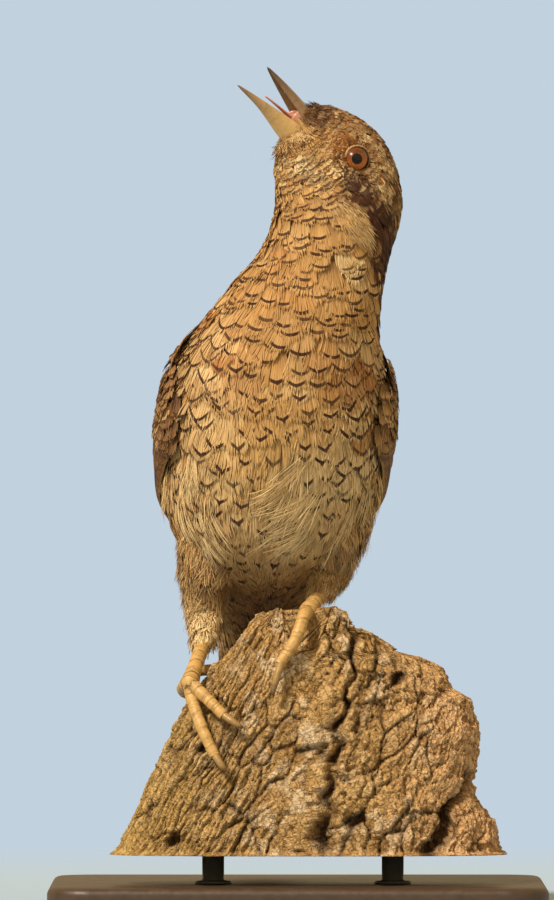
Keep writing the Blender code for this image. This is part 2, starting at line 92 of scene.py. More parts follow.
# --- the coat, by place along the body
COAT_PLACES = (0.8, 2.0, 3.0, 4.5, 7.0, 8.5, 10.0, 11.0, 12.0, 13.0, 14.5, 16.0)
ROW_PITCH = (2.6, 2.6, 3.0, 3.3, 3.3, 3.0, 2.7, 2.25, 1.6, 1.2, 0.95, 0.8)
COLUMN_PITCH = (3.0, 3.2, 3.8, 4.3, 4.3, 3.9, 3.2, 2.5, 1.8, 1.4, 1.15, 1.0)
COAT_DEPTH = (0.5, 1.2, 1.9, 2.3, 2.3, 2.1, 1.8, 1.5, 1.2, 1.0, 0.8, 0.6)
BARB_LEVELS = (0.0, 0.34, 0.58, 0.78, 0.92, 1.0)  # where along a barb its points lie
MOST_TRIANGLES = 190000

# --- the dark line on each feather, by place: its half width, thickness, strength and slope
MARK_PLACES = (0, 2.0, 3.0, 4.2, 5.5, 7.5, 9.0, 12.0, 13.5, 16.0)
MARKS = (
    (1.3, 1.4, 1.2, 1.0, 1.05, 1.25, 1.6, 1.35, 0.8, 0.5),
    (0.28, 0.30, 0.34, 0.40, 0.42, 0.38, 0.31, 0.28, 0.20, 0.18),
    (0.5, 0.6, 0.8, 0.9, 0.95, 0.95, 0.95, 0.95, 0.85, 0.5),
    (0.15, 0.2, 0.5, 0.7, 0.8, 0.85, 0.22, 0.22, 0.3, 0.3),
)
UNMARKED = (9.0, 0.0, 0.5)  # the reading of a surface that no dark line crosses

# --- perch
PERCH_BOTTOM, PERCH_TOP = 11.0, 61.4
PERCH_HEIGHTS = (11, 18, 23, 34, 43, 44.5, 47, 49, 50, 52.5, 56, 59.5, 61.4)
PERCH_LEFT = (-37.8, -34.4, -32.2, -27.2, -22.7, -20.7, -19.2, -18.2, -16.2, -14.4, -11.8, -9.4, -6.8)
PERCH_RIGHT = (  # height, edge: it steps down from the top in broken ledges
    (11, 42.0), (18, 40.0), (23, 36.2), (34, 37.2), (42.2, 36.4), (44.4, 32.6), (46.4, 31.8), (48.6, 30.0),
    (50.8, 25.0), (51.8, 21.0), (55.0, 17.0), (57.0, 13.4), (59.5, 11.6), (61.4, 9.4),
)
PERCH_FRONT = (-31.0, -30.9, -30.7, -30.0, -28.8, -28.6, -28.2, -27.8, -27.7, -27.3, -26.6, -25.6, -24.4)
PERCH_BACK = (1.0, 0.0, -1.2, -4.0, -8.0, -8.8, -10.0, -11.0, -11.6, -12.9, -15.2, -17.4, -19.0)
BOXINESS = 2.8  # the power of the trunk's section: 2 is an oval, more is squarer
GRAIN_SLOPE = math.radians(62.0)
NOTCH = {"x": 1.4, "half_width": 3.1, "depth": 6.4, "from_z": 49.0}
DEEP_GROOVE = ((11.4, 57.0), (11.0, 50.0), (9.8, 41.0), (8.0, 35.0), (6.8, 26.0), (5.0, 13.0))
SIDE_RECESS = ((35.4, 27.0), (31.0, 19.0), (26.0, 10.0))
HOLES = ((-25.5, 14.0, 1.6, 1.0), (-19.8, 32.3, 1.3, 0.9), (11.4, 18.2, 2.4, 1.2), (20.5, 46.5, 1.8, 1.1))

TOE_RADIUS = 1.35

# --- plumage colours: four tones over buff, in the order of the weights that feathers carry
BUFF, INK = "#C39A5E", "#381A06"
BROWN = "#4E2A0C"
TONES = ("#9A622C", "#86724F", BROWN, "#DFC491")  # rufous, grey, brown, cream
HEAD_PATCHES = (  # tone, strength, ahead of and above the eye, width both ways, small noise it fades in over
    (0, 1.00, 2.5, 4.8, 8.0, 3.6, 0.20, 0.50),
    (0, 0.70, 2.0, -0.2, 6.0, 2.6, -1.0, 0.0),
    (1, 0.95, 6.2, -8.3, 3.0, 1.8, -1.0, 0.0),
    (2, 0.90, 11.0, 1.2, 1.6, 3.0, -1.0, 0.0),
    (3, 1.30, -1.4, 4.1, 3.4, 1.1, 0.30, 0.55),
    (3, 0.80, 2.0, -4.9, 2.6, 1.1, 0.28, 0.48),
    (3, 0.75, 6.2, -8.3, 2.8, 1.6, 0.26, 0.50),
    (3, 0.75, -5.6, -0.2, 3.0, 1.2, 0.30, 0.50),
)
BODY_PATCHES = (  # tone, strength, place, degrees from the breast's middle, width both ways, small noise
    (0, 0.38, 9.6, 0, 2.0, 90, -1.0, 0.0),
    (0, 0.80, 8.4, 92, 1.0, 22, 0.25, 0.50),
    (0, 0.25, 8.5, 48, 0.8, 30, -1.0, 0.0),
    (0, 0.14, 4.6, 0, 1.6, 50, -1.0, 0.0),
    (1, 0.18, 5.0, 70, 1.6, 24, -1.0, 0.0),
    # the vent: its ochre-brown, darkened further as painted shade under the body
    (2, 1.00, 1.6, 0, 2.5, 75, -1.0, 0.0),
    # these two: the lower belly browner, painted shade where it curves under
    (2, 0.26, 4.4, 0, 1.8, 70, -1.0, 0.0),
    (2, 0.20, 4.4, 0, 1.6, 40, -1.0, 0.0),
)


# --- small tools


def linear(hexa):
    """A colour written as sRGB hex, as the linear numbers that a shader takes."""
    parts = np.array([int(hexa[k : k + 2], 16) / 255 for k in (1, 3, 5)])
    bent = np.where(parts <= 0.04045, parts / 12.92, ((parts + 0.055) / 1.055) ** 2.4)
    return (*bent.tolist(), 1.0)


def unit(vectors):
    """The vectors, each divided by its own length."""
    return vectors / np.linalg.norm(vectors, axis=-1, keepdims=True)


def ease(value, low, high):
    """0 below low, 1 above high, and a smooth S between; high may lie under low to run the other way."""
    share = np.clip((value - low) / (high - low), 0, 1)
    return share * share * (3 - 2 * share)


def spot(a, b, wide_a, wide_b):
    """A soft spot, 1 in its middle: exp of minus both distances over their widths, squared."""
    return np.exp(-((a / wide_a) ** 2) - ((b / wide_b) ** 2))


def turns(count):
    """Angles of so many equal steps round a circle."""
    return np.arange(count) / count * ROUND


def grid(first, second):
    """Every pair of the two lists' values, as two tables."""
    return np.meshgrid(first, second, indexing="ij")


def smooth_table(rows, places):
    """Rows of numbers read at fractional row numbers, along a Catmull-Rom curve."""
    rows = np.asarray(rows, float)
    padded = np.vstack([2 * rows[0] - rows[1], rows, 2 * rows[-1] - rows[-2]])
    places = np.clip(np.asarray(places, float), 0, len(rows) - 1)
    first = np.minimum(places.astype(int), len(rows) - 2)
    t = (places - first)[:, None]
    a, b, c, d = (padded[first + k] for k in range(4))
    return 0.5 * (2 * b + (c - a) * t + (2 * a - 5 * b + 4 * c - d) * t**2 + (3 * b - a - 3 * c + d) * t**3)


def corner_key(corner, seed=0):
    """A scrambled whole number for each corner of a lattice."""
    x, y, z = corner[..., 0], corner[..., 1], corner[..., 2]
    return (x * 73856093) ^ (y * 19349663) ^ (z * 83492791) ^ (seed * 2654435)


def cloud(points, size, seed=0):
    """Smooth noise from 0 to 1: a value at each corner of a lattice of that size, blended with S weights."""
    corner = np.floor(points / size).astype(np.int64)
    share = ease(points / size - corner, 0, 1)
    total = 0.0
    for k in range(8):
        step = np.array([k // 4, k // 2 % 2, k % 2])
        value = CORNER_VALUES[corner_key(corner + step, seed) & 65535]
        total = total + value * np.abs(1 - step - share).prod(axis=-1)
    return total


def clouds(points, size, seed=0, layers=3):
    """Noise over noise: each layer half the size and half the strength of the last, from 0 to 1."""
    strengths = 0.5 ** np.arange(layers)
    total = sum(cloud(points, size * part, seed + k) * part for k, part in enumerate(strengths))
    return total / strengths.sum()


def cells(spots):
    """Cracked cells: one shaken seed per lattice box, and each spot belongs to its nearest seed.

    Gives the cell's own random value, how much nearer its seed is than the next one (0 on a crack), and
    how far the spot lies along the second axis from its seed.
    """
    base = np.floor(spots).astype(np.int64)
    best, second = np.full(spots.shape[:-1], 1e9), np.full(spots.shape[:-1], 1e9)
    value, lean = np.zeros(spots.shape[:-1]), np.zeros(spots.shape[:-1])
    for step in range(27):
        corner = base + [step % 3 - 1, step // 3 % 3 - 1, step // 9 - 1]
        key = corner_key(corner)
        shake = np.stack([CORNER_VALUES[(key + add_on) & 65535] for add_on in (0, 7919, 15731)], axis=-1)
        apart = spots - corner - 0.1 - 0.8 * shake
        away = np.linalg.norm(apart, axis=-1)
        second = np.minimum(second, np.maximum(best, away))
        value = np.where(away < best, CORNER_VALUES[(key * 31 + 11) & 65535], value)
        lean = np.where(away < best, apart[..., 1], lean)
        best = np.minimum(best, away)
    return value, second - best, lean


def near_line(x, z, stops):
    """Distance in a plane from points to a broken line, and how far along it the nearest spot is."""
    best, along = np.full(x.shape, 1e9), np.zeros(x.shape)
    stops = np.asarray(stops, float)
    for k, (start, end) in enumerate(zip(stops, stops[1:])):
        run = end - start
        share = np.clip(((x - start[0]) * run[0] + (z - start[1]) * run[1]) / (run @ run), 0, 1)
        away = np.hypot(x - start[0] - share * run[0], z - start[1] - share * run[1])
        along = np.where(away < best, (k + share) / (len(stops) - 1), along)
        best = np.minimum(best, away)
    return best, along


# --- making pieces


def make_mesh(name, points, faces, layers=None, bake=None):
    """A mesh from points in mm and arrays of faces, with named layers on its points and a bake map."""
    mesh = bpy.data.meshes.new(name)
    points = np.asarray(points, float).reshape(-1, 3)
    corners = np.concatenate([part.ravel() for part in faces]).astype(np.int32)
    sizes = np.concatenate([np.full(len(part), part.shape[1]) for part in faces])
    mesh.vertices.add(len(points))
    mesh.vertices.foreach_set("co", (points * MM).astype(np.float32).ravel())
    mesh.loops.add(len(corners))
    mesh.loops.foreach_set("vertex_index", corners)
    mesh.polygons.add(len(sizes))
    mesh.polygons.foreach_set("loop_start", np.concatenate([[0], np.cumsum(sizes)[:-1]]).astype(np.int32))
    mesh.update(calc_edges=True)
    kinds = {1: ("FLOAT", "value"), 3: ("FLOAT_VECTOR", "vector"), 4: ("FLOAT_COLOR", "color")}
    for label, values in (layers or {}).items():
        values = np.asarray(values, np.float32).reshape(len(points), -1)
        kind, field = kinds[values.shape[1]]
        mesh.attributes.new(label, kind, "POINT").data.foreach_set(field, values.ravel())
    if bake is not None:
        mesh.uv_layers.new(name="OFBake").data.foreach_set("uv", bake.astype(np.float32)[corners].ravel())
    mesh.validate()
    mesh.shade_smooth()
    return mesh


def add_object(name, data):
    """A new object with this data, linked into the scene."""
    made = bpy.data.objects.new(name, data)
    bpy.context.scene.collection.objects.link(made)
    return made


def add_piece(mesh, finish, stands_for=()):
    """Links a finished mesh as an object of the same name, riding on the one body."""
    made = add_object(mesh.name, mesh)
    mesh.materials.clear()
    mesh.materials.append(finish)
    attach(made, "root")
    if stands_for:
        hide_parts(*stands_for)


def grid_faces(rows, columns, closed=True):
    """Quads between a grid's neighbouring rows and columns; a closed one's last column joins its first."""
    row, column = grid(np.arange(rows - 1) * columns, np.arange(columns if closed else columns - 1))
    after = (column + 1) % columns
    quads = [row + column, row + after, row + columns + after, row + columns + column]
    return np.stack(quads, axis=-1).reshape(-1, 4)


def fan_faces(middle, first, count):
    """Triangles from one point to each side of a closed ring of points, numbered from first."""
    ring = np.arange(count)
    return np.stack([np.full(count, middle), first + ring, first + (ring + 1) % count], axis=-1)


def shell(rings, **layers):
    """Points, faces and layers of a closed surface over rings, with a fan of triangles at each end.

    A layer is one value or a table of them over the rings; the two end points get their ring's mean.
    """
    rows, columns = rings.shape[:2]

    def ended(table):
        """The table's values in one column, then the first ring's mean and the last one's."""
        return np.concatenate([table.reshape(rows * columns, -1), table[:1].mean(axis=1).reshape(1, -1),
                               table[-1:].mean(axis=1).reshape(1, -1)])

    low = rows * columns
    faces = [grid_faces(rows, columns), np.vstack([fan_faces(low, 0, columns)[:, ::-1],
                                                   fan_faces(low + 1, low - columns, columns)])]
    for label, values in layers.items():
        values = np.asarray(values, float)
        size = (rows, columns, values.shape[-1]) if values.ndim % 2 else (rows, columns)
        layers[label] = ended(np.broadcast_to(values, size))
    return ended(rings), faces, layers


def joined(name, parts):
    """One mesh from a list of (points, faces, layers) of closed surfaces, its normals turned outwards."""
    starts = np.cumsum([0] + [len(points) for points, _, _ in parts])
    faces = [face + start for (_, some, _), start in zip(parts, starts) for face in some]
    layers = {label: np.vstack([part[2][label] for part in parts]) for label in parts[0][2]}
    mesh = make_mesh(name, np.vstack([part[0] for part in parts]), faces, layers)
    bm = bmesh.new()
    bm.from_mesh(mesh)
    bmesh.ops.recalc_face_normals(bm, faces=bm.faces[:])
    bm.to_mesh(mesh)
    bm.free()
    return mesh


def united(name, meshes):
    """The union of closed meshes as one mesh with no seams inside, by Boolean modifiers made real."""
    helpers = [add_object(mesh.name, mesh) for mesh in meshes]
    base = helpers[0]
    for helper in helpers[1:]:
        join = base.modifiers.new(helper.name, "BOOLEAN")
        join.operation = "UNION"
        join.solver = "EXACT"
        join.object = helper
    graph = bpy.context.evaluated_depsgraph_get()
    graph.update()
    made = bpy.data.meshes.new_from_object(base.evaluated_get(graph), depsgraph=graph)
    for helper in helpers:
        bpy.data.objects.remove(helper)
    made.name = name
    made.shade_smooth()
    return made


# --- the body's form


def facing(heading):
    """Level unit vectors the way a section faces, and to the bird's left of it."""
    turn = np.radians(heading)
    ahead = np.stack([-np.sin(turn), -np.cos(turn), 0 * turn], axis=-1)
    left = np.stack([np.cos(turn), -np.sin(turn), 0 * turn], axis=-1)
    return ahead, left


def body_frame(places):
    """Centre, left and front vectors, and the three radii, of the body's sections at these places."""
    rows = smooth_table(SECTIONS, places)
    ahead, left = facing(rows[:, 3])
    nod, lean = np.radians(rows[:, 4:5]), np.radians(rows[:, 5:6])
    axis = unit(np.sin(nod) * ahead + np.sin(lean) * left + np.cos(nod) * np.cos(lean) * [0.0, 0.0, 1.0])
    front = unit(ahead - (ahead * axis).sum(-1, keepdims=True) * axis)
    return rows[:, :3], np.cross(axis, front), front, rows[:, 6], rows[:, 7], rows[:, 8]


def body_point(places, angles, grow=0.0):
    """Points on the body: its middle + left x side x sin(angle) + front x depth x cos(angle).

    The angle runs from the breast's midline towards the bird's left; grow is added to every radius.
    """
    places, angles, grow = np.broadcast_arrays(np.asarray(places, float), np.asarray(angles, float), grow)
    centre, left, front, side, back, fore = body_frame(places.ravel())
    angle, grow = angles.ravel(), grow.ravel()
    across = np.sin(angle) * (side + grow)
    deep = np.cos(angle) * (np.where(np.cos(angle) > 0, fore, back) + grow)
    return (centre + left * across[:, None] + front * deep[:, None]).reshape(*places.shape, 3)


def body_normal(places, angles):
    """Outward unit normals of the body, from its slopes both ways."""
    step = 0.01
    along = body_point(places + step, angles) - body_point(places - step, angles)
    round_it = body_point(places, angles + step) - body_point(places, angles - step)
    return unit(np.cross(round_it, along))


def head_axes(pitch):
    """Forward, up and left unit vectors of the head for a line at this pitch above level."""
    ahead, left = facing(np.float64(HEAD_HEADING))
    rise = math.radians(pitch)
    forward = math.cos(rise) * ahead + math.sin(rise) * np.array([0, 0, 1.0])
    return forward, np.cross(forward, left), left


FORWARD, UP, LEFT = head_axes(BILL_PITCH)


def round_head(origin, angle, ahead, above, across):
    """Points about an origin: cos(angle) x ahead forwards, sin(angle) x above upwards, across to the left."""
    return (origin + FORWARD * (ahead * np.cos(angle))[..., None] + UP * (above * np.sin(angle))[..., None]
            + LEFT * across)


def head_place(points):
    """How far points lie ahead of, above and to the left of the middle between the eyes."""
    away = (points - EYE_MIDDLE) @ np.stack([FORWARD, UP, LEFT], axis=-1)
    return away[..., 0], away[..., 1], away[..., 2]


def wing_surface(sign, place, share, height):
    """A point over the folded wing: share runs 0 to 1 from its front edge to its back edge."""
    front, back, thick = (np.interp(place, WING_PLACES, row)
                          for row in (WING_FRONT_EDGE, WING_BACK_EDGE, WING_THICKNESS))
    angle = np.radians(front + share * (back - front)) * sign
    bulge = np.sqrt(np.clip(1 - (2 * share - 1) ** 4, 0, 1))
    lift = GAP * 1.5 + height * thick * (0.25 + 0.75 * bulge)
    return body_point(place, angle) + body_normal(place, angle) * lift[..., None]


# --- sheets to lay feathers on


def lay_sheet(points, middle, closed):
    """A surface as a grid of points, with its slopes along u (rows) and v (columns) and outward normals."""
    rows, columns = points.shape[:2]
    along = np.gradient(points, axis=0) * (rows - 1)
    if closed:
        across = (np.roll(points, -1, axis=1) - np.roll(points, 1, axis=1)) * 0.5 * columns
    else:
        across = np.gradient(points, axis=1) * (columns - 1)
    normal = unit(np.cross(across, along))
    if (normal * (points - middle)).sum() < 0:
        normal = -normal
    return {"point": points, "along": along, "across": across, "normal": normal, "closed": closed}


def read(sheet, field, u, v):
    """A field of the sheet at (u, v), blended straight between its four nearest grid points."""
    table, closed = sheet[field], sheet["closed"]
    rows, columns = table.shape[:2]
    row = np.clip(u, 0, 1) * (rows - 1)
    column = (v % 1.0) * columns if closed else np.clip(v, 0, 1) * (columns - 1)
    i = np.minimum(row.astype(int), rows - 2)
    j = np.minimum(column.astype(int), columns - (1 if closed else 2))
    k = (j + 1) % columns
    down, side = (row - i)[..., None], (column - j)[..., None]
    near = table[i, j] * (1 - side) + table[i, k] * side
    far = table[i + 1, j] * (1 - side) + table[i + 1, k] * side
    return near * (1 - down) + far * down


def place_on(sheet, u, v, lift):
    """Points on the sheet, raised by lift mm along its normal; past its ends it runs straight on."""
    point = read(sheet, "point", u, v) + read(sheet, "normal", u, v) * lift[..., None]
    point = point + read(sheet, "along", u, v) * (u - np.clip(u, 0, 1))[..., None]
    if not sheet["closed"]:
        point = point + read(sheet, "across", u, v) * (v - np.clip(v, 0, 1))[..., None]
    return point


def strides(sheet, u, v, lie):
    """How u and v change for one mm along the lie (row 0) and for one mm across it (row 1).

    The lie is an angle from the sheet's falling u; each wanted vector is solved against the sheet's two
    slopes by their dot products.
    """
    along, across, normal = (read(sheet, field, u, v) for field in ("along", "across", "normal"))
    fall = -unit(along)
    turned = fall * np.cos(lie)[:, None] + np.cross(fall, normal) * np.sin(lie)[:, None]
    aa, bb, ab = (along**2).sum(-1), (across**2).sum(-1), (along * across).sum(-1)
    moves = []
    for wanted in (turned, np.cross(turned, normal)):
        wa, wb = (wanted * along).sum(-1), (wanted * across).sum(-1)
        moves.append(np.stack([bb * wa - ab * wb, aa * wb - ab * wa]) / (aa * bb - ab**2))
    return np.stack(moves)


def lattice(sheet, row_pitch, column_pitch, u_from=1.0, u_to=0.0, v_from=0.0, v_to=1.0, jitter=0.20):
    """Roots in staggered rows between two v edges, from u_from down to u_to.

    Rows fall where the distance run down the middle, over the pitch there, passes a whole number; a row
    holds as many roots as its width over the column pitch. Both pitches are functions of u.
    """
    def slope(field, u):
        """How many mm one whole step of u or v is worth on the strip's middle line."""
        return np.linalg.norm(read(sheet, field, u, np.full_like(u, (v_from + v_to) / 2)), axis=-1)

    u_line = np.linspace(u_from, u_to, 2000)
    run = slope("along", u_line) * abs(u_from - u_to) / 1999
    count = np.cumsum(run / row_pitch(u_line))
    rows = np.interp(np.arange(0.5, count[-1]), count, u_line)
    widths = slope("across", rows) * (v_to - v_from)
    counts = np.maximum(1, np.round(widths / column_pitch(rows))).astype(int)
    which = np.repeat(np.arange(len(rows)), counts)
    order = np.arange(len(which)) - np.repeat(np.cumsum(counts) - counts, counts)
    share = (order + 0.25 + 0.5 * (which % 2)) / counts[which]
    shake = RANDOM.normal(size=(2, len(which))) * jitter
    u = rows[which] + shake[0] * (row_pitch(rows) / slope("along", rows))[which]
    v = v_from + (share + shake[1] / counts[which]) * (v_to - v_from)
    return u, v


def fans(sheet, tufts, barbs, strand):
    """Small feathers, each a fan of thin barbs, as points, layers and places on the bake map.

    A barb at share s of the half width starts near the shaft, spreads to s x half width, is shorter by
    round x s squared, bends sideways by bend x run squared, and narrows to a point. It is laid on the
    sheet by the strides half way along and lifted from low to high. A dark line crosses the feather at
    'apex' from its tip, rising to both sides by slope x |x| to a power.
    """
    count = len(tufts["u"])
    shape = (count, barbs, 1, 1)  # tables run over feathers, barbs, levels and a barb's two edges
    one = {key: values.reshape(count, 1, 1, 1) for key, values in tufts.items() if key != "tones"}
    level = np.array(BARB_LEVELS)[:, None]
    edges = np.array([-1.0, 1.0])
    share = np.linspace(-1, 1, barbs)[:, None, None] + RANDOM.normal(size=shape) * 0.35 / barbs
    reach = one["length"] * (1 - one["round"] * share**2) * (1 + RANDOM.normal(size=shape) * one["fray"])
    run = reach * level
    wander = RANDOM.normal(size=shape) * one["fray"] * run * level * 0.6
    spread = one["width"] / 2 * share * (0.45 + 0.55 * level**0.8)
    taper = np.interp(level, (0, 0.7, 0.9, 1), (1, 1, 0.8, 0.15))
    half = one["width"] / barbs * strand * taper * (0.8 + 0.4 * RANDOM.random(shape))
    lift = one["low"] + (one["high"] - one["low"]) * ease(level, 0, 1)
    lift = lift + one["camber"] * one["width"] * (1 - share**2) * level * (1.25 - level)
    lift = lift + RANDOM.normal(size=shape) * one["loose"] * level
    lift = lift + RANDOM.normal(size=shape) * 0.35 * half * edges
    across = spread + wander + one["bend"] * run**2 / one["length"] + half * edges
    forward = run + 0 * across
    step = strides(sheet, tufts["u"], tufts["v"], tufts["lie"])[0] * tufts["length"] * 0.5
    step = strides(sheet, tufts["u"] + step[0], tufts["v"] + step[1], tufts["lie"])
    step = step.reshape(2, 2, count, 1, 1, 1)
    points = place_on(sheet, one["u"] + forward * step[0, 0] + across * step[1, 0],
                      one["v"] + forward * step[0, 1] + across * step[1, 1], lift)
    away = np.abs(across - one["shift"])
    stem = one["stem"] * np.exp(-((across / 0.22) ** 2))
    line = one["length"] - forward - one["apex"] + 0.35 * stem - one["slope"] * away ** one["power"]
    ink = one["ink"] * ease(away, one["reach"] * 1.15, one["reach"] * 0.85)
    mark = np.stack([line / (one["thick"] * (1 + stem)), ink, RANDOM.random(shape) + 0 * across], axis=-1)
    tones = tufts["tones"][:, None, None, None, :] + np.zeros((*across.shape, 1))
    # browner towards each feather's foot: partly the darker base of real feathers, partly painted shade in
    # the gaps between overlapping tufts
    foot = 1 - ease(forward / one["length"], 0.15, 0.75)
    tones[..., 2] = np.clip(tones[..., 2] + 0.40 * foot, 0, 1)
    patch_u, patch_v = (0.003 * np.ptp(tufts[key]) for key in "uv")
    bake = np.stack([one["v"] + patch_v * across / one["width"],
                     one["u"] - patch_u * forward / one["length"]], axis=-1)
    return points, {"tones": tones, "mark": mark}, bake


def coat_pieces(name, sheet, parts, barbs, finish, clear_of=None, strand=0.95):
    """Makes the feathers in a list of tables as joined meshes of few enough triangles each.

    clear_of is a function of points that is true where no barb may pass.
    """
    tufts = {key: np.concatenate([part[key] for part in parts]) for key in parts[0]}
    size = len(BARB_LEVELS) * 2
    total = len(tufts["u"])
    pieces = max(1, math.ceil(total / (MOST_TRIANGLES // (barbs * (size - 2)))))
    for k in range(pieces):
        some = slice(k * total // pieces, (k + 1) * total // pieces)
        points, layers, bake = fans(sheet, {key: table[some] for key, table in tufts.items()}, barbs, strand)
        keep = np.ones(points.shape[:2], bool) if clear_of is None else ~clear_of(points).any(axis=(2, 3))
        first = (np.arange(keep.sum()) * size)[:, None, None]
        faces = (grid_faces(len(BARB_LEVELS), 2, False)[:, ::-1] + first).reshape(-1, 4)
        bake = bake[keep].reshape(-1, 2)
        bake = (bake - bake.min(axis=0)) / np.ptp(bake, axis=0)
        layers = {key: table[keep] for key, table in layers.items()}
        label = name if pieces == 1 else f"{name}_{k + 1}"
        add_piece(make_mesh(label, points[keep], [faces], layers, bake), finish)


# --- the bird's markings


def place_of(u):
    """The place along the body of the body sheet's u."""
    return COAT_START + u * (LAST - COAT_START)


def u_of(place):
    """The body sheet's u at a place along the body."""
    return (np.asarray(place) - COAT_START) / (LAST - COAT_START)


def by_place(table, place):
    """A row of the coat's table read at a place along the body."""
    return np.interp(place, COAT_PLACES, table)


def body_rings(first, last, rows, columns):
    """Rings of the body inside the coat's tips, and the place and angle of their points."""
    place, angle = grid(np.linspace(first, last, rows), turns(columns) - math.pi)
    return body_point(place, angle, -by_place(COAT_DEPTH, place)), place, angle


def degrees_round(angle):
    """Degrees from the breast's midline, 0 to 180 on either side."""
    return np.degrees(np.abs((angle + math.pi) % ROUND - math.pi))


def ear_stripe(points):
    """How much of the near-black stripe behind and below the eye a feather rooted here takes, 0 to 1."""
    ahead, above, _ = head_place(points)
    mottled = ease(clouds(points, 0.9, 17), 0.30, 0.56)
    return ease(near_line(ahead, above, EAR_STRIPE)[0], 1.9, 0.7) * (0.15 + 0.85 * mottled)


def plumage_tones(points, place, angle):
    """Weights of rufous, grey, brown and cream over buff, from the place on the body or head.

    Underparts run from warm ochre on the throat to cream on the belly and ochre-brown at the vent, the lower
    belly and the vent darkened further with painted shade; the back is grey with a dark central stripe; the
    head has a brown stripe from the eye down the neck's side.
    """
    turn = degrees_round(angle)
    ahead, above, _ = head_place(points)
    mottle, small, patch = clouds(points, 3.2, 2), clouds(points, 1.3, 17), clouds(points, 7.0, 9)
    on_head = ease(place, 10.3, 12.3)
    back = ease(turn + 10 * (mottle - 0.5), 98, 122)
    crown = on_head * ease(above + 1.6 * (mottle - 0.5), 1.2, 3.2)
    upper = np.maximum(back * (1 - on_head), crown)
    scaly = spot(turn - 60, 0, 26, 1) * ease(place, 5.4, 6.4) * ease(place, 9.8, 8.8)
    rusty = ease(mottle, 0.42, 0.62)
    rufous = 0.30 * ease(mottle, 0.5, 0.72) * ease(place, 4.0, 6.0)
    rufous = rufous + 0.30 * scaly * rusty + 0.45 * upper * rusty
    grey = upper * (0.75 - 0.35 * ease(mottle, 0.5, 0.8)) * (1 - 0.85 * crown * ease(ahead, -9.0, -3.0))
    stripe = 1.5 * spot(ahead + 2.4, above + 4.6, 3.4, 2.4) + 1.2 * spot(ahead + 8.8, above + 4.8, 4.2, 2.6)
    stripe = np.clip(stripe + spot(ahead + 15.0, above + 7.0, 4.5, 2.6), 0, 1.2)
    side_stripe = spot(turn - 111, 0, 12, 1) * ease(place, 8.8, 9.8) * ease(place, 12.4, 11.4)
    brown = 0.85 * ease(turn, 164, 174) * ease(place, 13.2, 12.0) * ease(place, 4.0, 5.5)
    brown = brown + 2.0 * stripe * ease(place, 9.4, 10.6) * ease(small, 0.06, 0.34)
    brown = brown + 1.2 * side_stripe * ease(small, 0.2, 0.6) + 0.30 * back * ease(place, 8.6, 9.6)
    brown = brown + (0.45 - 0.30 * on_head) * upper * ease(patch, 0.46, 0.62)
    brown = brown + 0.30 * on_head * ease(small, 0.42, 0.58) * ease(above, -8.0, -3.0)
    cream = 0.18 * spot(place - 6.0, turn, 1.6, 70) * (0.5 + 0.8 * mottle)
    cream = cream + 0.55 * scaly * ease(mottle, 0.65, 0.35)
    cream = cream + 0.40 * spot(place - 7.2, turn, 1.6, 60) * ease(patch, 0.42, 0.6)
    cream = cream + spot(ahead + 11.2, above + 14.4, 2.6, 2.2) * ease(place, 9.4, 10.2)
    cream = cream + 0.40 * crown * ease(small, 0.54, 0.66)
    tones = np.stack([rufous, grey, brown, cream])
    for patches, weight, a, b in ((HEAD_PATCHES, on_head, ahead, above), (BODY_PATCHES, 1.0, place, turn)):
        for tone, strength, mid_a, mid_b, wide_a, wide_b, low, high in patches:
            soft = spot(a - mid_a, b - mid_b, wide_a, wide_b)
            tones[tone] += strength * weight * soft * ease(small, low, high)
    uncreamed = 1 - 0.8 * np.clip(tones[3], 0, 1)
    tones[0] += 0.30 * on_head * spot(above + 8.0, 0, 5.0, 1) * uncreamed
    tones[2] = np.clip(tones[2], 0, 1.3) * uncreamed
    return np.clip(np.moveaxis(tones, 0, -1), 0, 1)


def markings(place, angle, points):
    """For each feather its dark line: apex, slope, power, reach, thickness, stem and strength."""
    count = len(place)
    turn = degrees_round(angle)
    under, bar, on_head = 1 - ease(turn, 88, 118), ease(place, 7.6, 9.2), ease(place, 12.2, 13.4)
    scaly = spot(turn - 60, 0, 24, 1) * ease(place, 5.6, 6.6) * ease(place, 9.6, 8.6)
    reach, thick, strength, slope = (np.interp(place, MARK_PLACES, row) for row in MARKS)
    shown = RANDOM.random(count) < np.interp(place, (3, 5, 8), (0.65, 0.82, 1.0))
    strength = strength * np.where(shown, 1, 0.15) * (0.40 + 0.60 * under)
    strength = strength * (0.82 + 0.30 * RANDOM.random(count))
    slope = slope + (0.42 - slope) * scaly
    stripe = ear_stripe(points)
    return {
        "apex": by_place(ROW_PITCH, place) * (0.30 + 0.25 * RANDOM.random(count)) * (1 - 0.5 * scaly),
        "slope": slope * (0.8 + 0.4 * RANDOM.random(count)),
        "power": 1.0 + 0.9 * bar * (1 - on_head) + 0.6 * scaly * (1 - bar),
        "reach": reach * (0.8 + 0.4 * RANDOM.random(count)) + 1.6 * scaly + 1.6 * stripe,
        "thick": thick * (0.85 + 0.3 * RANDOM.random(count)) + 1.4 * stripe,
        "stem": (1.3 * under * (1 - bar) + 1.6 * (1 - under)) * RANDOM.random(count),
        "ink": np.clip(np.maximum(strength, stripe), 0, 1),
        "shift": RANDOM.normal(size=count) * 0.15,
    }


def plain_tufts(u, v, lie, length, width, tones, **changes):
    """A table of feathers with even settings, of which some are changed by name."""
    table = {
        "u": u, "v": v, "lie": lie, "length": length, "width": width, "low": 0.4, "high": 0.9, "round": 0.3,
        "fray": 0.05, "loose": 0.05, "bend": 0.0, "camber": 0.02, "apex": 1.0, "slope": 0.5, "power": 1.0,
        "reach": 0.8, "thick": 0.3, "stem": 0.0, "ink": 0.0, "shift": 0.0,
    }
    table.update(changes)
    return {"tones": tones, **{key: np.broadcast_to(value, len(u)) for key, value in table.items()}}


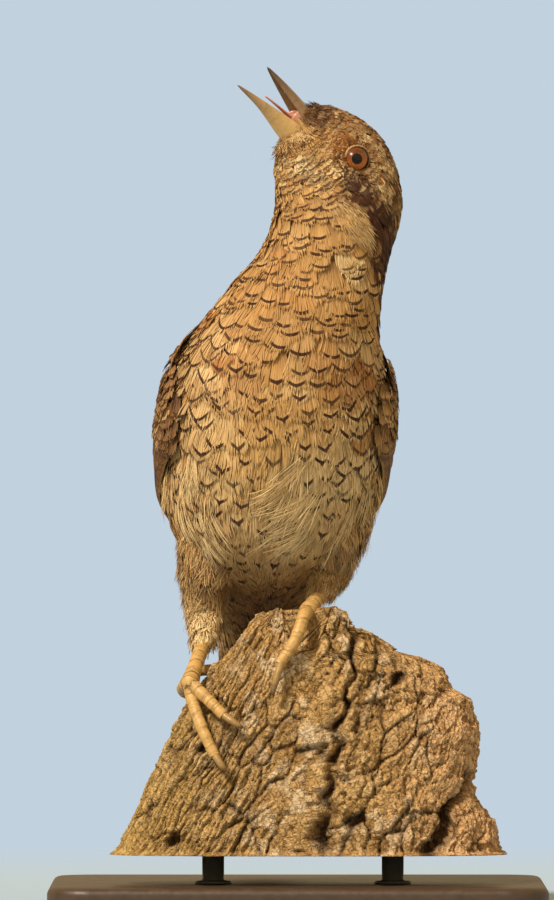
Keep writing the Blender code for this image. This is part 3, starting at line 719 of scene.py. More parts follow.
def nearest_on(sheet, wanted):
    """(u, v) of the sheet's grid point nearest to each wanted point."""
    table = sheet["point"][::2, ::2]
    away = ((wanted[:, None, :] - table.reshape(1, -1, 3)) ** 2).sum(-1)
    row, column = np.unravel_index(away.argmin(axis=1), table.shape[:2])
    return row * 2 / (sheet["point"].shape[0] - 1), column * 2 / sheet["point"].shape[1]


def lie_towards(sheet, u, v, wanted):
    """The lie angle that sends a feather rooted at (u, v) along a wanted direction."""
    fall = -unit(read(sheet, "along", u, v))
    turned = np.cross(fall, read(sheet, "normal", u, v))
    return np.arctan2((wanted * turned).sum(-1), (wanted * fall).sum(-1))


def body_tufts(sheet, u, v):
    """The small feathers of the body at these roots, sized by their place and lying towards the tail."""
    count = len(u)
    place, angle = place_of(u), (v - 0.5) * ROUND
    depth = by_place(COAT_DEPTH, place)
    points = read(sheet, "point", u, v)
    belly = spot(place - 4.6, 0, 1.8, 1) * (np.cos(angle) > 0)
    cheek = ease(place, 10.4, 11.8) * ease(place, 15.0, 14.0) * ease(np.abs(angle), 0.7, 1.2)
    lie = 0.72 * belly * np.sin(angle) + 0.8 * cheek * lie_towards(sheet, u, v, -FORWARD)
    lie = lie + RANDOM.normal(size=count) * 0.10
    length = by_place(ROW_PITCH, place) * np.interp(place, (2, 8, 12, 16), (2.9, 2.9, 2.5, 2.1))
    length = length * (1 + RANDOM.normal(size=count) * 0.07)
    width = by_place(COLUMN_PITCH, place) * 1.5 * (1 + RANDOM.normal(size=count) * 0.05)
    high = depth * (0.84 + 0.14 * RANDOM.random(count))
    bend = RANDOM.normal(size=count) * 0.05
    tones = plumage_tones(points, place, angle) * (0.85 + 0.3 * RANDOM.random((count, 1)))
    uneven = np.interp(place, (8, 11, 12.5), (0.03, 0.07, 0.16))[:, None]
    tones = np.clip(tones + RANDOM.normal(size=(count, 4)) * uneven, 0, 1)
    fray, loose = (np.interp(place, (3, 6, 9, 13), row)
                   for row in ((0.065, 0.045, 0.038, 0.04), (0.09, 0.05, 0.04, 0.03)))
    return plain_tufts(u, v, lie, length, width, tones, low=0.40 * depth, high=high, fray=fray, loose=loose,
                       bend=bend, camber=0.022, **markings(place, angle, points))


def near_eye(points):
    """True for points within the opening of either eye's lids."""
    ahead, above, left = head_place(points)
    return (np.hypot(ahead, above) < 2.70) & (np.abs(left) > 4.0)


def near_openings(points):
    """True for points within the opening of the lids or ahead of the bill's root."""
    return near_eye(points) | ((points - BILL_BASE) @ FORWARD > 0.9)


# --- materials


def add(tree, kind, inputs=None, **settings):
    """Adds one shader node with its settings; an input is a value, or a node or its output to link."""
    node = tree.nodes.new("ShaderNode" + kind)
    for key, value in settings.items():
        setattr(node, key, value)
    for socket, value in (inputs or {}).items():
        if isinstance(value, bpy.types.Node):
            value = value.outputs[0]
        if isinstance(value, bpy.types.NodeSocket):
            tree.links.new(value, node.inputs[socket])
        else:
            node.inputs[socket].default_value = value
    return node


def new_finish(name, **constants):
    """A Principled material of that name with its constant numbers set: its tree and its shader."""
    finish = bpy.data.materials.new(name)
    finish.use_nodes = True
    shader = finish.node_tree.nodes["Principled BSDF"]
    for socket, value in constants.items():
        shader.inputs[socket.replace("_", " ")].default_value = value
    return finish, finish.node_tree, shader


def per_mm(size):
    """The noise scale whose spots are about that many mm across, on coordinates in metres."""
    return 1.0 / (size * MM)


def painted(tree, colour, layers, **settings):
    """A colour with others laid over it in turn, each as strongly as its weight.

    A layer is its weight and its colour as hex, or a reading, where that starts and ends, the weights
    there, and the colour.
    """
    for weight, *span, hexa in layers:
        if span:
            weight = add(tree, "MapRange", dict(enumerate((weight, *span))), **settings)
        colour = add(tree, "Mix", {0: weight, 6: colour, 7: linear(hexa)}, data_type="RGBA").outputs[2]
    return colour


def barbed_feather():
    """Small body feathers: keratin barbs, each a hair's breadth, dull with a faint sheen along their edges.

    Gives the eye soft buff strands that differ one from the next, with crisp dark lines across them.
    """
    finish, tree, shader = new_finish("barbed_feather_buff", Roughness=0.72, Specular_IOR_Level=0.3,
                                      Sheen_Weight=0.05, Sheen_Roughness=0.5)
    tones = add(tree, "Attribute", attribute_name="tones")
    split = add(tree, "SeparateColor", {0: tones})
    mark = add(tree, "Attribute", attribute_name="mark").outputs["Vector"]
    line, strength, strand = add(tree, "SeparateXYZ", {0: mark}).outputs
    where = add(tree, "TexCoord").outputs["Object"]
    colour = painted(tree, linear(BUFF), zip((*split.outputs, tones.outputs["Alpha"]), TONES))
    # vermiculation, the wavy fine lines on grey feathers, about 0.9 mm apart
    waves = add(tree, "TexNoise", {"Vector": where, "Scale": per_mm(0.9), "Detail": 3.0, "Distortion": 1.2})
    fleck = add(tree, "MapRange", {0: waves, 1: 0.50, 2: 0.64, 3: 0.0, 4: 0.75})
    grey_only = add(tree, "Math", {0: fleck, 1: split.outputs["Green"]}, operation="MULTIPLY")
    colour = painted(tree, colour, [(grey_only, BROWN)])
    # each strand its own lightness
    shade = add(tree, "MapRange", {0: strand, 1: 0.0, 2: 1.0, 3: 0.86, 4: 1.12})
    drift = add(tree, "TexNoise", {"Vector": where, "Scale": per_mm(6.0), "Detail": 2.0})
    blotch = add(tree, "MapRange", {0: drift, 1: 0.3, 2: 0.7, 3: 0.90, 4: 1.08})
    value = add(tree, "Math", {0: shade, 1: blotch}, operation="MULTIPLY")
    colour = add(tree, "HueSaturation", {"Value": value, "Color": colour})
    # the dark line: where its signed distance is under one half-thickness
    distance = add(tree, "Math", {0: line}, operation="ABSOLUTE")
    edge = add(tree, "MapRange", {0: distance, 1: 1.25, 2: 0.80}, interpolation_type="SMOOTHSTEP")
    ink = add(tree, "Math", {0: edge, 1: strength}, operation="MULTIPLY")
    tree.links.new(painted(tree, colour, [(ink, INK)]), shader.inputs["Base Color"])
    return finish


def toned(name, low, high, roughness, grain_mm, strength, coat=0.0):
    """A finish whose colour runs from one hex to the other with its tone, broken up by its grain."""
    finish, tree, shader = new_finish(name, Coat_Weight=coat, Coat_Roughness=0.15)
    where = add(tree, "TexCoord").outputs["Object"]
    tone = add(tree, "Attribute", attribute_name="tone").outputs["Fac"]
    noise = add(tree, "TexNoise", {"Vector": where, "Scale": per_mm(grain_mm), "Detail": 5.0})
    shift = add(tree, "MapRange", {0: noise, 1: 0.25, 2: 0.75, 3: -0.22, 4: 0.22})
    total = add(tree, "Math", {0: tone, 1: shift}, operation="ADD")
    tree.links.new(painted(tree, linear(low), [(total, high)]), shader.inputs["Base Color"])
    rough = add(tree, "MapRange", {0: noise, 3: roughness - 0.1, 4: roughness + 0.12})
    tree.links.new(rough.outputs[0], shader.inputs["Roughness"])
    bump = add(tree, "Bump", {"Height": noise, "Distance": grain_mm * MM * 0.25, "Strength": strength})
    tree.links.new(bump.outputs["Normal"], shader.inputs["Normal"])
    return finish


# --- skin and coat


def sweep(route, radii, rows, columns, up=(0.0, 0.0, 1.0)):
    """Rings of a round limb along a smooth curve; column 0 of each ring lies on the side of 'up'."""
    table = np.hstack([np.asarray(route, float), np.asarray(radii, float)[:, None]])
    dense = smooth_table(table, np.linspace(0, len(table) - 1, rows))
    centre, radius = dense[:, :3], dense[:, 3]
    ahead = unit(np.gradient(centre, axis=0))
    top = unit(np.asarray(up, float) - ahead * (ahead @ np.asarray(up, float))[:, None])
    turn = turns(columns)[:, None]
    ring = top[:, None] * np.cos(turn) + np.cross(ahead, top)[:, None] * np.sin(turn)
    return centre[:, None] + ring * radius[:, None, None], centre, ring, radius


def leg_routes():
    """Joints of each leg, the runs of its toes and where each claw pricks in, on the perch's two faces."""
    front, back, r = -1, 1, TOE_RADIUS
    return {
        "right": {
            "thigh": ((-14.5, -11.0, 79.0), (-18.4, -12.2, 68.0), (-18.6, -11.2, 59.5), (-18.8, -13.4, 53.8)),
            "thigh_radii": (9.0, 5.4, 3.5, 2.5),
            "cuff": (0.62, 0.30),
            "ball": (-21.6, -25.4, 45.6),
            "toes": {
                3: [on_perch(-21.2, 42.4, front, r), on_perch(-19.2, 36.6, front, r),
                    on_perch(-16.6, 31.0, front, r * 0.8)],
                2: [on_perch(-18.0, 42.2, front, r * 0.9), on_perch(-14.8, 39.0, front, r * 0.8)],
                4: [(-22.7, -20.8, 44.8), (-22.9, -13.8, 43.6), on_perch(-19.6, 41.6, back, r * 0.8)],
                1: [(-21.5, -20.2, 46.3), (-20.5, -13.6, 47.5), on_perch(-16.8, 48.0, back, r * 0.8)],
            },
            "claw_tips": {3: (-14.3, 28.2, front), 2: (-10.8, 36.6, front),
                          4: (-15.6, 38.4, back), 1: (-12.0, 46.6, back)},
        },
        "left": {
            "thigh": ((6.5, -13.0, 80.0), (7.4, -15.0, 73.5), (6.6, -13.2, 68.0), (5.0, -15.0, 64.0)),
            "thigh_radii": (9.0, 5.8, 4.0, 2.7),
            "cuff": (0.40, 0.14),
            "ball": (1.9, -21.4, 59.6),
            "toes": {
                3: [(1.2, -26.0, 59.0), on_perch(0.2, 56.0, front, r, 0.3),
                    on_perch(-1.4, 52.6, front, r), on_perch(-3.7, 49.4, front, r * 0.85)],
                2: [(0.6, -17.0, 58.8), on_perch(-3.4, 55.6, back, r), on_perch(-6.4, 53.0, back, r * 0.8)],
                4: [(3.4, -17.4, 58.8), on_perch(6.4, 54.0, back, r), on_perch(8.4, 50.4, back, r * 0.8)],
                1: [(1.9, -16.8, 58.2), on_perch(1.4, 53.0, back, r)],
            },
            "claw_tips": {3: (-4.9, 42.6, front), 2: (-8.6, 48.0, back),
                          4: (9.8, 44.8, back), 1: (0.8, 48.0, back)},
        },
    }


def thigh_sheet(form, inset):
    """The feathered thigh as a sheet whose u falls from the body (1) to the cuff (0)."""
    radii = np.array(form["thigh_radii"][::-1]) - inset
    rings, centre = sweep(form["thigh"][::-1], radii, 80, 64, (0.0, -1.0, 0.0))[:2]
    return lay_sheet(rings, centre[:, None, :], True)


def make_skin(finish, legs):
    """One skin: the body's sweep inside the coat, united with the thighs and the wings' arms."""
    rings, place, angle = body_rings(1.3, LAST - 0.02, 150, 96)
    cores = [("body_core", rings, plumage_tones(rings, place, angle))]
    for side_name, form in legs.items():
        cores.append(("thigh_core_" + side_name, thigh_sheet(form, 1.4)["point"], (0.05, 0.1, 0.1, 0.3)))
    place, share = grid(np.linspace(7.6, 2.2, 60), np.linspace(0.12, 0.88, 12))
    for sign, side_name in SIDES:
        outer, inner = (wing_surface(sign, place, share, np.full(place.shape, high)) for high in (0.45, -1.6))
        cores.append(("wing_core_" + side_name, np.concatenate([outer, inner[:, ::-1]], axis=1),
                      (0.2, 0.3, 0.5, 0.0)))
    meshes = [joined(name, [shell(rings, tones=tones, mark=UNMARKED)]) for name, rings, tones in cores]
    add_piece(united("skin", meshes), finish,
              ("trunk", "neck", "head", "thigh_left", "thigh_right", "wing_left", "wing_right"))


def make_body_coat(finish):
    """Feathers over the body: rows are counted down each region's own middle line, then cut up by size."""
    rings, _, _ = body_rings(COAT_START, LAST, 640, 256)
    sheet = lay_sheet(rings, body_frame(np.linspace(COAT_START, LAST, 640))[0][:, None, :], True)

    def rows(u):
        """The spacing of the rows at u."""
        return by_place(ROW_PITCH, place_of(u))

    def columns(u):
        """The spacing of a row's feathers at u."""
        return by_place(COLUMN_PITCH, place_of(u))

    head_and_neck = (16.0, 8.05, ((13.4, 17.0, 14), (11.8, 13.4, 18), (10.2, 11.8, 30), (8.0, 10.2, 38)))
    trunk = (8.2, 1.9, ((4.7, 8.4, 44), (0.0, 4.7, 36)))
    regions = (  # name, slot, v edges, first and last place and for each run of places its barbs
        ("throat", "plumage_pale", 0.36, 0.64, head_and_neck),
        ("side_left", "plumage_pale", 0.64, 0.86, head_and_neck),
        ("side_right", "plumage_pale", 0.14, 0.36, head_and_neck),
        ("nape", "plumage_brown", -0.14, 0.14, head_and_neck),
        ("breast", "plumage_pale", 0.22, 0.78, trunk),
        ("mantle", "plumage_brown", -0.22, 0.22, trunk),
    )
    for name, slot, v_from, v_to, (start, end, cuts) in regions:
        u, v = lattice(sheet, rows, columns, u_of(start), u_of(end), v_from - 0.01, v_to + 0.01)
        for k, (low, high, barbs) in enumerate(cuts):
            inside = (place_of(u) >= low) & (place_of(u) < high)
            tufts = body_tufts(sheet, u[inside], v[inside] % 1.0)
            clear_of = near_openings if low > 11 else None
            coat_pieces(f"coat_{name}_{k + 1}", sheet, [tufts], barbs, finish, clear_of)
    for make in (make_eye_surround, make_bristles, make_plumes, make_ear_tufts, make_shoulder_cover):
        make(sheet, finish)


def make_eye_surround(sheet, finish):
    """Rings of tiny feathers that start under each lid and fan out from it, leaning back along the head."""
    parts = []
    for sign, _ in SIDES:
        for ring, number in ((2.75, 36), (3.4, 40), (4.2, 44)):
            turn = (np.arange(number) + RANDOM.random(number) * 0.5) / number * ROUND
            spoke = round_head(0.0, turn, 1.0, 1.0, 0.0)
            u, v = nearest_on(sheet, EYE_MIDDLE + LEFT * sign * 8.0 + spoke * ring)
            lie = lie_towards(sheet, u, v, spoke - FORWARD * (0.25 + 0.25 * (ring - 2.65)))
            points = read(sheet, "point", u, v)
            tones = plumage_tones(points, place_of(u), (v - 0.5) * ROUND)
            stripe = ear_stripe(points)
            pale = np.clip(tones[:, 3] * 0.7 + 0.25 * (RANDOM.random(number) < 0.3), 0, 1)
            tones[:, 3] = pale * (1 - stripe)
            tones[:, 2] += 0.10 + 0.3 * (RANDOM.random(number) < 0.5)
            tones[:, 0] += 0.35
            beyond = ring - 2.65
            parts.append(plain_tufts(
                u, v, lie, 1.0 + 0.35 * beyond, 0.7, np.clip(tones, 0, 1), low=0.65, high=1.05 - 0.1 * beyond,
                reach=2.0, thick=2.0, ink=0.9 * stripe))
    coat_pieces("coat_eye_surround", sheet, parts, 8, finish)


def make_bristles(sheet, finish):
    """Stiff hair-like feathers over the bill's root: dark above the nostrils, dark-tipped under the chin."""
    number = 200
    turn = RANDOM.uniform(-math.pi, math.pi, number)
    u = u_of(RANDOM.uniform(15.2, 15.98, number))
    top = ease(np.abs(turn), 1.1, 1.7)
    tones = np.stack([0.3 + 0 * u, 0.3 * top, 0.05 + 0.85 * top, 0.35 * (1 - top)], axis=-1)
    tones = np.clip(tones + RANDOM.normal(size=(number, 1)) * 0.15, 0, 1)
    forwards = RANDOM.random(number) < 0.25 + 0.6 * top
    lie = np.where(forwards, math.pi, 0.0) + RANDOM.normal(size=number) * 0.25
    tufts = plain_tufts(u, (turn / ROUND + 0.5) % 1.0, lie, 1.6 + 1.0 * RANDOM.random(number), 0.9, tones,
                        low=0.35, high=0.6 + 0.5 * RANDOM.random(number), fray=0.16, loose=0.14)
    coat_pieces("coat_bill_bristles", sheet, [tufts], 9, finish, strand=0.42)
    number = 30
    turn = RANDOM.normal(size=number) * 0.55
    u = u_of(RANDOM.uniform(14.6, 15.9, number))
    tones = np.tile([0.1, 0.1, 0.75, 0.0], (number, 1))
    tufts = plain_tufts(u, turn / ROUND + 0.5, RANDOM.normal(size=number) * 0.5,
                        2.0 + 1.4 * RANDOM.random(number), 1.6, tones, low=0.3, high=1.2, fray=0.2, loose=0.3)
    coat_pieces("coat_chin_bristles", sheet, [tufts], 3, finish, strand=0.14)


def make_plumes(sheet, finish):
    """Long loose strands on the belly and flanks, in bunches that sweep across the neat rows below."""
    bunches = (  # places, angles in degrees, how many, lie, length, width, lift, cream, grey
        ((6.2, 7.0), (8, 34), 9, 0.62, 10.0, 2.8, 0.7, 0.60, 0.0),
        ((5.7, 6.5), (12, 42), 10, 0.74, 12.0, 2.4, 0.9, 0.85, 0.0),
        ((5.2, 5.8), (24, 50), 6, 0.85, 11.0, 2.2, 1.0, 1.00, 0.0),
        ((5.6, 6.3), (44, 72), 6, 0.45, 10.0, 2.6, 0.8, 0.65, 0.1),
        ((5.9, 6.8), (-60, -34), 8, -0.30, 9.0, 2.6, 0.8, 0.65, 0.1),
        ((5.3, 5.9), (-68, -40), 8, -0.50, 9.0, 2.4, 1.0, 0.95, 0.0),
        ((5.3, 6.3), (76, 92), 10, 0.0, 8.0, 4.4, 0.7, 0.35, 0.15),
        ((5.6, 6.5), (-90, -72), 10, 0.0, 8.0, 4.4, 0.7, 0.35, 0.1),
        ((4.3, 4.9), (78, 100), 9, 0.10, 8.0, 4.2, 1.8, 0.40, 0.5),
        ((3.9, 4.6), (-100, -78), 8, -0.05, 7.0, 4.0, 1.2, 0.55, 0.3),
        ((3.6, 4.4), (60, 95), 10, 0.30, 8.0, 3.6, 1.3, 0.85, 0.0),
    )
    parts = []
    for places, angles, number, lie, length, width, lift, cream, grey in bunches:
        u = u_of(RANDOM.uniform(*places, number))
        v = RANDOM.uniform(*angles, number) / 360 + 0.5
        tones = np.tile([0.05, grey, 0.0, cream], (number, 1)) * (0.8 + 0.4 * RANDOM.random((number, 1)))
        parts.append(plain_tufts(
            u, v, lie + RANDOM.normal(size=number) * 0.22, length * (0.8 + 0.4 * RANDOM.random(number)),
            width * (0.7 + 0.5 * RANDOM.random(number)), np.clip(tones, 0, 1), low=1.4, high=2.2 + lift,
            fray=0.10, loose=0.35 * lift, bend=RANDOM.normal(size=number) * 0.10, round=0.25))
    coat_pieces("coat_belly_plumes", sheet, parts, 15, finish, strand=0.32)


def make_ear_tufts(sheet, finish):
    """The long soft ear coverts: hair-fine strands swept back from behind and below each eye."""
    rows = (  # how many, height over the eye, length, cream, brown
        (9, -8.5, 4.6, 0.15, 0.45), (10, -9.2, 5.2, 0.40, 0.12),
        (10, -10.1, 5.4, 0.42, 0.05), (8, -11.1, 5.0, 0.25, 0.20),
    )
    for sign, side_name in SIDES:
        parts = []
        for row, (number, above, length, cream, brown) in enumerate(rows):
            ahead = np.linspace(-2.4, -8.6, number) + RANDOM.normal(size=number) * 0.3
            above = above + RANDOM.normal(size=number) * 0.3
            wanted = EYE_MIDDLE + LEFT * sign * 9.4 + FORWARD * ahead[:, None] + UP * above[:, None]
            u, v = nearest_on(sheet, wanted)
            lie = lie_towards(sheet, u, v, -FORWARD - (0.02 + 0.06 * row) * UP)
            tones = np.clip([0.15, 0.10, brown, cream] + RANDOM.normal(size=(number, 4)) * 0.20, 0, 1)
            parts.append(plain_tufts(
                u, v, lie + RANDOM.normal(size=number) * 0.08, length * (0.8 + 0.4 * RANDOM.random(number)),
                1.9, tones, low=0.6, high=1.4 + 0.10 * row, fray=0.10, loose=0.10,
                bend=RANDOM.normal(size=number) * 0.06))
        coat_pieces("coat_ear_" + side_name, sheet, parts, 22, finish, near_eye, 0.62)


def make_shoulder_cover(sheet, finish):
    """Feathers that drape over both edges of each wing: pale dark-edged ones in front, scapulars behind."""
    for sign, side_name in SIDES:
        parts = []
        for row, (first, last, number) in enumerate(((7.6, 8.6, 6), (7.5, 8.5, 6), (7.5, 8.4, 6))):
            place = np.linspace(first, last, number) + RANDOM.normal(size=number) * 0.06
            edge = np.interp(place, WING_PLACES, WING_FRONT_EDGE)
            angle = np.radians(edge - 13 + 7 * row + RANDOM.normal(size=number) * 2) * sign
            rufous, brown, cream = RANDOM.random((3, number)) * [[0.3], [0.2], [0.3]]
            tones = np.stack([0.25 + rufous, np.full(number, 0.1), 0.1 + brown, 0.15 + cream], axis=-1)
            high = np.interp(place, (7.5, 8.6), (2.8, 1.9)) + 0.22 * row
            parts.append(plain_tufts(
                u_of(place), angle / ROUND + 0.5, -sign * (0.22 + 0.06 * row), 6.4, 4.8, tones, low=1.1,
                high=high, fray=0.03, loose=0.04, camber=0.05, round=0.45, apex=0.7, slope=0.75, reach=2.0,
                thick=0.32, stem=1.0, ink=0.95))
        for row, (first, last, number) in enumerate(((5.6, 8.0, 9), (5.9, 8.2, 9), (6.2, 8.4, 8))):
            place = np.linspace(first, last, number) + RANDOM.normal(size=number) * 0.06
            edge = np.interp(place, WING_PLACES, WING_BACK_EDGE)
            angle = np.radians(edge + 12 - 6 * row + RANDOM.normal(size=number) * 2) * sign
            tones = plumage_tones(body_point(place, angle), place, angle) + [0.1, 0.2, 0.0, 0.0]
            parts.append(plain_tufts(
                u_of(place), angle / ROUND + 0.5, sign * 0.30, 10.5, 6.6, np.clip(tones, 0, 1), low=1.5,
                high=2.9 + 0.4 * row, fray=0.03, loose=0.05, camber=0.05, round=0.34, apex=0.9, slope=0.35,
                reach=2.2, thick=0.36, stem=1.5, ink=0.85))
        coat_pieces("coat_shoulder_" + side_name, sheet, parts, 38, finish)


def make_thigh_coat(finish, legs):
    """Short shaggy feathers down each thigh, mottled with rust and brown, to a cream cuff."""
    def pitch(u):
        """The spacing of the feathers at u, widest at the body."""
        return np.interp(u, (0, 0.5, 1), (1.1, 1.15, 1.5))

    for side_name, form in legs.items():
        sheet = thigh_sheet(form, 0.7)
        u, v = lattice(sheet, pitch, pitch, 1.0, 0.02, jitter=0.14)
        count, row = len(u), pitch(u)
        points = read(sheet, "point", u, v)
        cuff, blotch = ease(u, *form["cuff"]), ease(clouds(points, 1.8, 41), 0.48, 0.60)
        tones = np.stack([0.20 + 0.40 * blotch, 0.06 + 0.1 * clouds(points, 4.0, 3),
                          0.10 * (1 - cuff) + 0.36 * blotch * (1 - 0.7 * cuff),
                          (0.25 + 0.75 * cuff) * (1 - 0.4 * blotch)], axis=-1)
        tones = np.clip(tones + RANDOM.normal(size=(count, 4)) * 0.10, 0, 1)
        tufts = plain_tufts(
            u, v, RANDOM.normal(size=count) * 0.22, row * 2.9 + 2.2 * ease(u, 0.25, 0.6), row * 1.9, tones,
            low=0.05, high=0.60 + 0.90 * RANDOM.random(count), round=0.35, fray=0.14, loose=0.26,
            bend=RANDOM.normal(size=count) * 0.12, camber=0.03, apex=row * 0.5, slope=0.6, thick=0.34,
            stem=RANDOM.random(count), ink=0.85 * (RANDOM.random(count) < 0.36) * (1 - cuff))
        coat_pieces("coat_thigh_" + side_name, sheet, [tufts], 24, finish, strand=0.62)


# --- head


def make_eyes(finish):
    """Each eyeball: a sphere, with the more tightly curved cornea standing out of its middle.

    Along each direction the surface is the further of the two spheres; the distance from the eye's axis
    is kept as a layer for the iris.
    """
    ahead, bend = 0.44, 0.70  # where the cornea's middle lies and its radius, over the eyeball's
    for sign, side_name in SIDES:
        out = unit(LEFT * sign + 0.16 * FORWARD - 0.17 * UP)  # looks a little forward and down
        across = unit(FORWARD - out * (FORWARD @ out))
        over = np.cross(out, across)
        p, t = grid(np.linspace(0, math.pi, 49)[1:-1], turns(64))
        cornea = ahead * np.cos(p) + np.sqrt(np.clip(bend**2 - (ahead * np.sin(p)) ** 2, 0, None))
        swell = (np.maximum(cornea, 0) ** 12 + 1.0) ** (1 / 12)
        direction = (out * np.cos(p)[..., None] + across * (np.sin(p) * np.cos(t))[..., None]
                     + over * (np.sin(p) * np.sin(t))[..., None])
        rings = EYE_MIDDLE + LEFT * sign * EYE_OUT + direction * (EYE_RADIUS * swell * 0.97)[..., None]
        # lower grows towards the back and bottom of the eyeball, where the iris is painted lighter, as light
        # through the cornea falls there
        part = shell(rings, disc=np.sin(p) + 2 * (p > math.pi / 2),
                     lower=-0.6 * (direction @ FORWARD) - 0.7 * direction[..., 2])
        add_piece(joined("eye_" + side_name, [part]), finish, ("eye_" + side_name,))


def eye_gloss():
    """A living eye: a clear, wet cornea over a chestnut iris with fine spokes and a black pupil.

    Gives the eye one sharp highlight over a dark disc in an orange-brown ring, deeper at its rim.
    """
    finish, tree, shader = new_finish("wet_cornea_chestnut_iris", Specular_IOR_Level=0.05, Coat_Weight=1.0,
                                      Coat_Roughness=0.22, Coat_IOR=1.34)
    disc, lower = (add(tree, "Attribute", attribute_name=name).outputs["Fac"] for name in ("disc", "lower"))
    where = add(tree, "TexCoord").outputs["Object"]
    spokes = add(tree, "TexNoise", {"Vector": where, "Scale": per_mm(0.35), "Detail": 4.0})
    # painted light: the iris lighter low and towards the back of the eye, opposite the highlight
    painted_iris_light = add(tree, "MapRange", {0: lower, 1: -0.5, 2: 0.6})
    speck = add(tree, "MapRange", {0: spokes, 1: 0.3, 2: 0.7, 3: -0.25, 4: 0.25})
    both = add(tree, "Math", {0: painted_iris_light, 1: speck}, operation="ADD")
    iris = painted(tree, linear("#5A2C12"), [(both, "#B86C2C")])
    full = painted(tree, iris, ((disc, 0.66, 0.74, 0.0, 1.0, "#1E0C05"),
                                (disc, 0.325, 0.290, 0.0, 1.0, "#050403")), interpolation_type="SMOOTHSTEP")
    tree.links.new(full, shader.inputs["Base Color"])
    return finish


def make_lids(finish):
    """Bare lids: for each eye a ring of soft fold, its opening a little longer than high."""
    t, r = grid(turns(96), turns(14))
    ring = 2.68 + 0.24 * np.cos(r) + 0.04 * np.sin(t * 23 + 2 * np.sin(t * 3))
    high = ring * (0.97 - 0.04 * np.cos(2 * t))
    level = EYE_OUT + 1.80 - 0.10 * np.cos(r) + 0.24 * np.sin(r)
    faces = [grid_faces(97, 14) % t.size]
    parts = []
    for sign, _ in SIDES:
        rings = round_head(EYE_MIDDLE, t, ring, high, (sign * level)[..., None])
        parts.append((rings.reshape(-1, 3), faces, {"tone": 0.5 + 0.5 * np.cos(r).reshape(-1, 1)}))
    add_piece(joined("eyelids", parts), finish)


def half_bill(name, form, side, finish):
    """One half of the bill along its length and round its edge.

    Its outside is a half oval with a raised keel, drawn to a point by (1 - share) to a power, and its
    inside is a shallow trough between two sharp cutting edges.
    """
    forward, up, left = head_axes(form["pitch"])
    length = form["length"] + BILL_SUNK
    share = np.linspace(0, 1, 72)[:, None]
    real = np.clip((share * length - BILL_SUNK) / form["length"], 0, 1)
    shrink = ((1 - real) ** 0.8 * 0.93 + 0.07) * np.where(share > 0.985, 0.6, 1.0)
    wide = form["half_width"] * shrink**1.15
    turn = np.linspace(0, math.pi, 40)
    back = np.linspace(math.pi, ROUND, 22)[1:-1]
    keel = 0.10 * np.exp(-(((turn - math.pi / 2) / 0.20) ** 2))
    deep = form["height"] * (1 + form["swell"] * (1 - ease(real, 0.0, 0.75)))
    height = deep * shrink + 0.05 * form["height"] * np.sin(math.pi * real)
    x = np.concatenate([np.cos(turn) * wide, np.cos(back) * wide * 0.86], axis=1)
    y = np.concatenate([(np.sin(turn) ** 0.85 + keel) * height * 0.93,
                        0.42 * height * (1 - np.cos(back) ** 2) * real**0.05], axis=1)
    y = side * (y - 0.5 * form["height"] * shrink)
    start = BILL_BASE + UP * form["lift"] + forward * (GAP - BILL_SUNK)
    rings = start + forward * (share * length)[..., None] + left * x[..., None] + up * y[..., None]
    add_piece(joined(name, [shell(rings, tone=real)]), finish, (name,))


def make_tongue(finish):
    """The tongue: a flat, round-edged strip from the gape, narrowing to a horny point."""
    forward, up, left = head_axes(LOWER_BILL["pitch"])
    share, turn = np.linspace(0, 1, 40)[:, None], turns(20)
    groove = 1 - 0.35 * np.exp(-(((turn - math.pi / 2) / 0.4) ** 2))
    wide = (1.05 - 0.85 * share**1.3) * np.cos(turn)
    high = (0.36 - 0.20 * share) * np.sin(turn) * groove + 0.25 * np.sin(share * 2.2)
    rings = BILL_BASE + UP * (LOWER_BILL["lift"] + 1.75) + forward * GAP + left * wide[..., None]
    rings = rings + forward * (TONGUE_LENGTH * share)[..., None] + up * high[..., None]
    add_piece(joined("tongue", [shell(rings, tone=share)]), finish, ("tongue",))


def make_mouth(finish):
    """The mouth's lining: a shallow cup of soft skin between the roots of the two halves of the bill."""
    forward, up, left = head_axes((UPPER_BILL["pitch"] + LOWER_BILL["pitch"]) / 2)
    scale = np.array([0.75, 0.98, 1.0, 0.98, 0.93, 0.85, 0.70, 0.45, 0.2])[:, None]
    ahead = np.array([-1.8, -1.2, 0.5, 2.0, 2.4, 2.2, 1.2, 0.4, 0.1])[:, None]
    turn = turns(48)
    x, y = scale * 2.15 * np.cos(turn), scale * 2.0 * np.sin(turn)
    rings = BILL_BASE + forward * (ahead * (1 - 0.35 * np.sin(turn) ** 2))[..., None]
    rings = rings + left * x[..., None] + up * y[..., None]
    # tone follows the rings' size: darker where the cup narrows deep inside, painted shade
    add_piece(joined("mouth_lining", [shell(rings, tone=scale)]), finish)


# --- perch


def perch_outline(z):
    """Centre and half sizes, in x and in y, of the trunk's section at height z."""
    left, front, back = (np.interp(z, PERCH_HEIGHTS, edge) for edge in (PERCH_LEFT, PERCH_FRONT, PERCH_BACK))
    right = np.interp(z, *np.transpose(PERCH_RIGHT))
    return (left + right) / 2, (front + back) / 2, (right - left) / 2, (back - front) / 2


def perch_face(x, z, side):
    """The y of the trunk's front (side -1) or back (side 1) over a point, before bark is carved."""
    mid_x, mid_y, half_x, half_y = perch_outline(z)
    reach = np.clip(np.abs((x - mid_x) / half_x), 0, 0.999)
    return mid_y + side * half_y * (1 - reach**BOXINESS) ** (1 / BOXINESS)


def on_perch(x, z, side, radius, lift=0.15):
    """Centre of a ball of this radius that rests against the trunk's front or back face."""
    step = np.linspace(-0.98, 0.98, 9) * radius
    over, up = np.meshgrid(step, step)
    bulge = np.sqrt(np.clip(radius**2 - over**2 - up**2, 0, None))
    reach = np.where(over**2 + up**2 < radius**2, side * perch_face(x + over, z + up, side) + bulge, -1e9)
    return [x, side * (float(reach.max()) + lift), z]


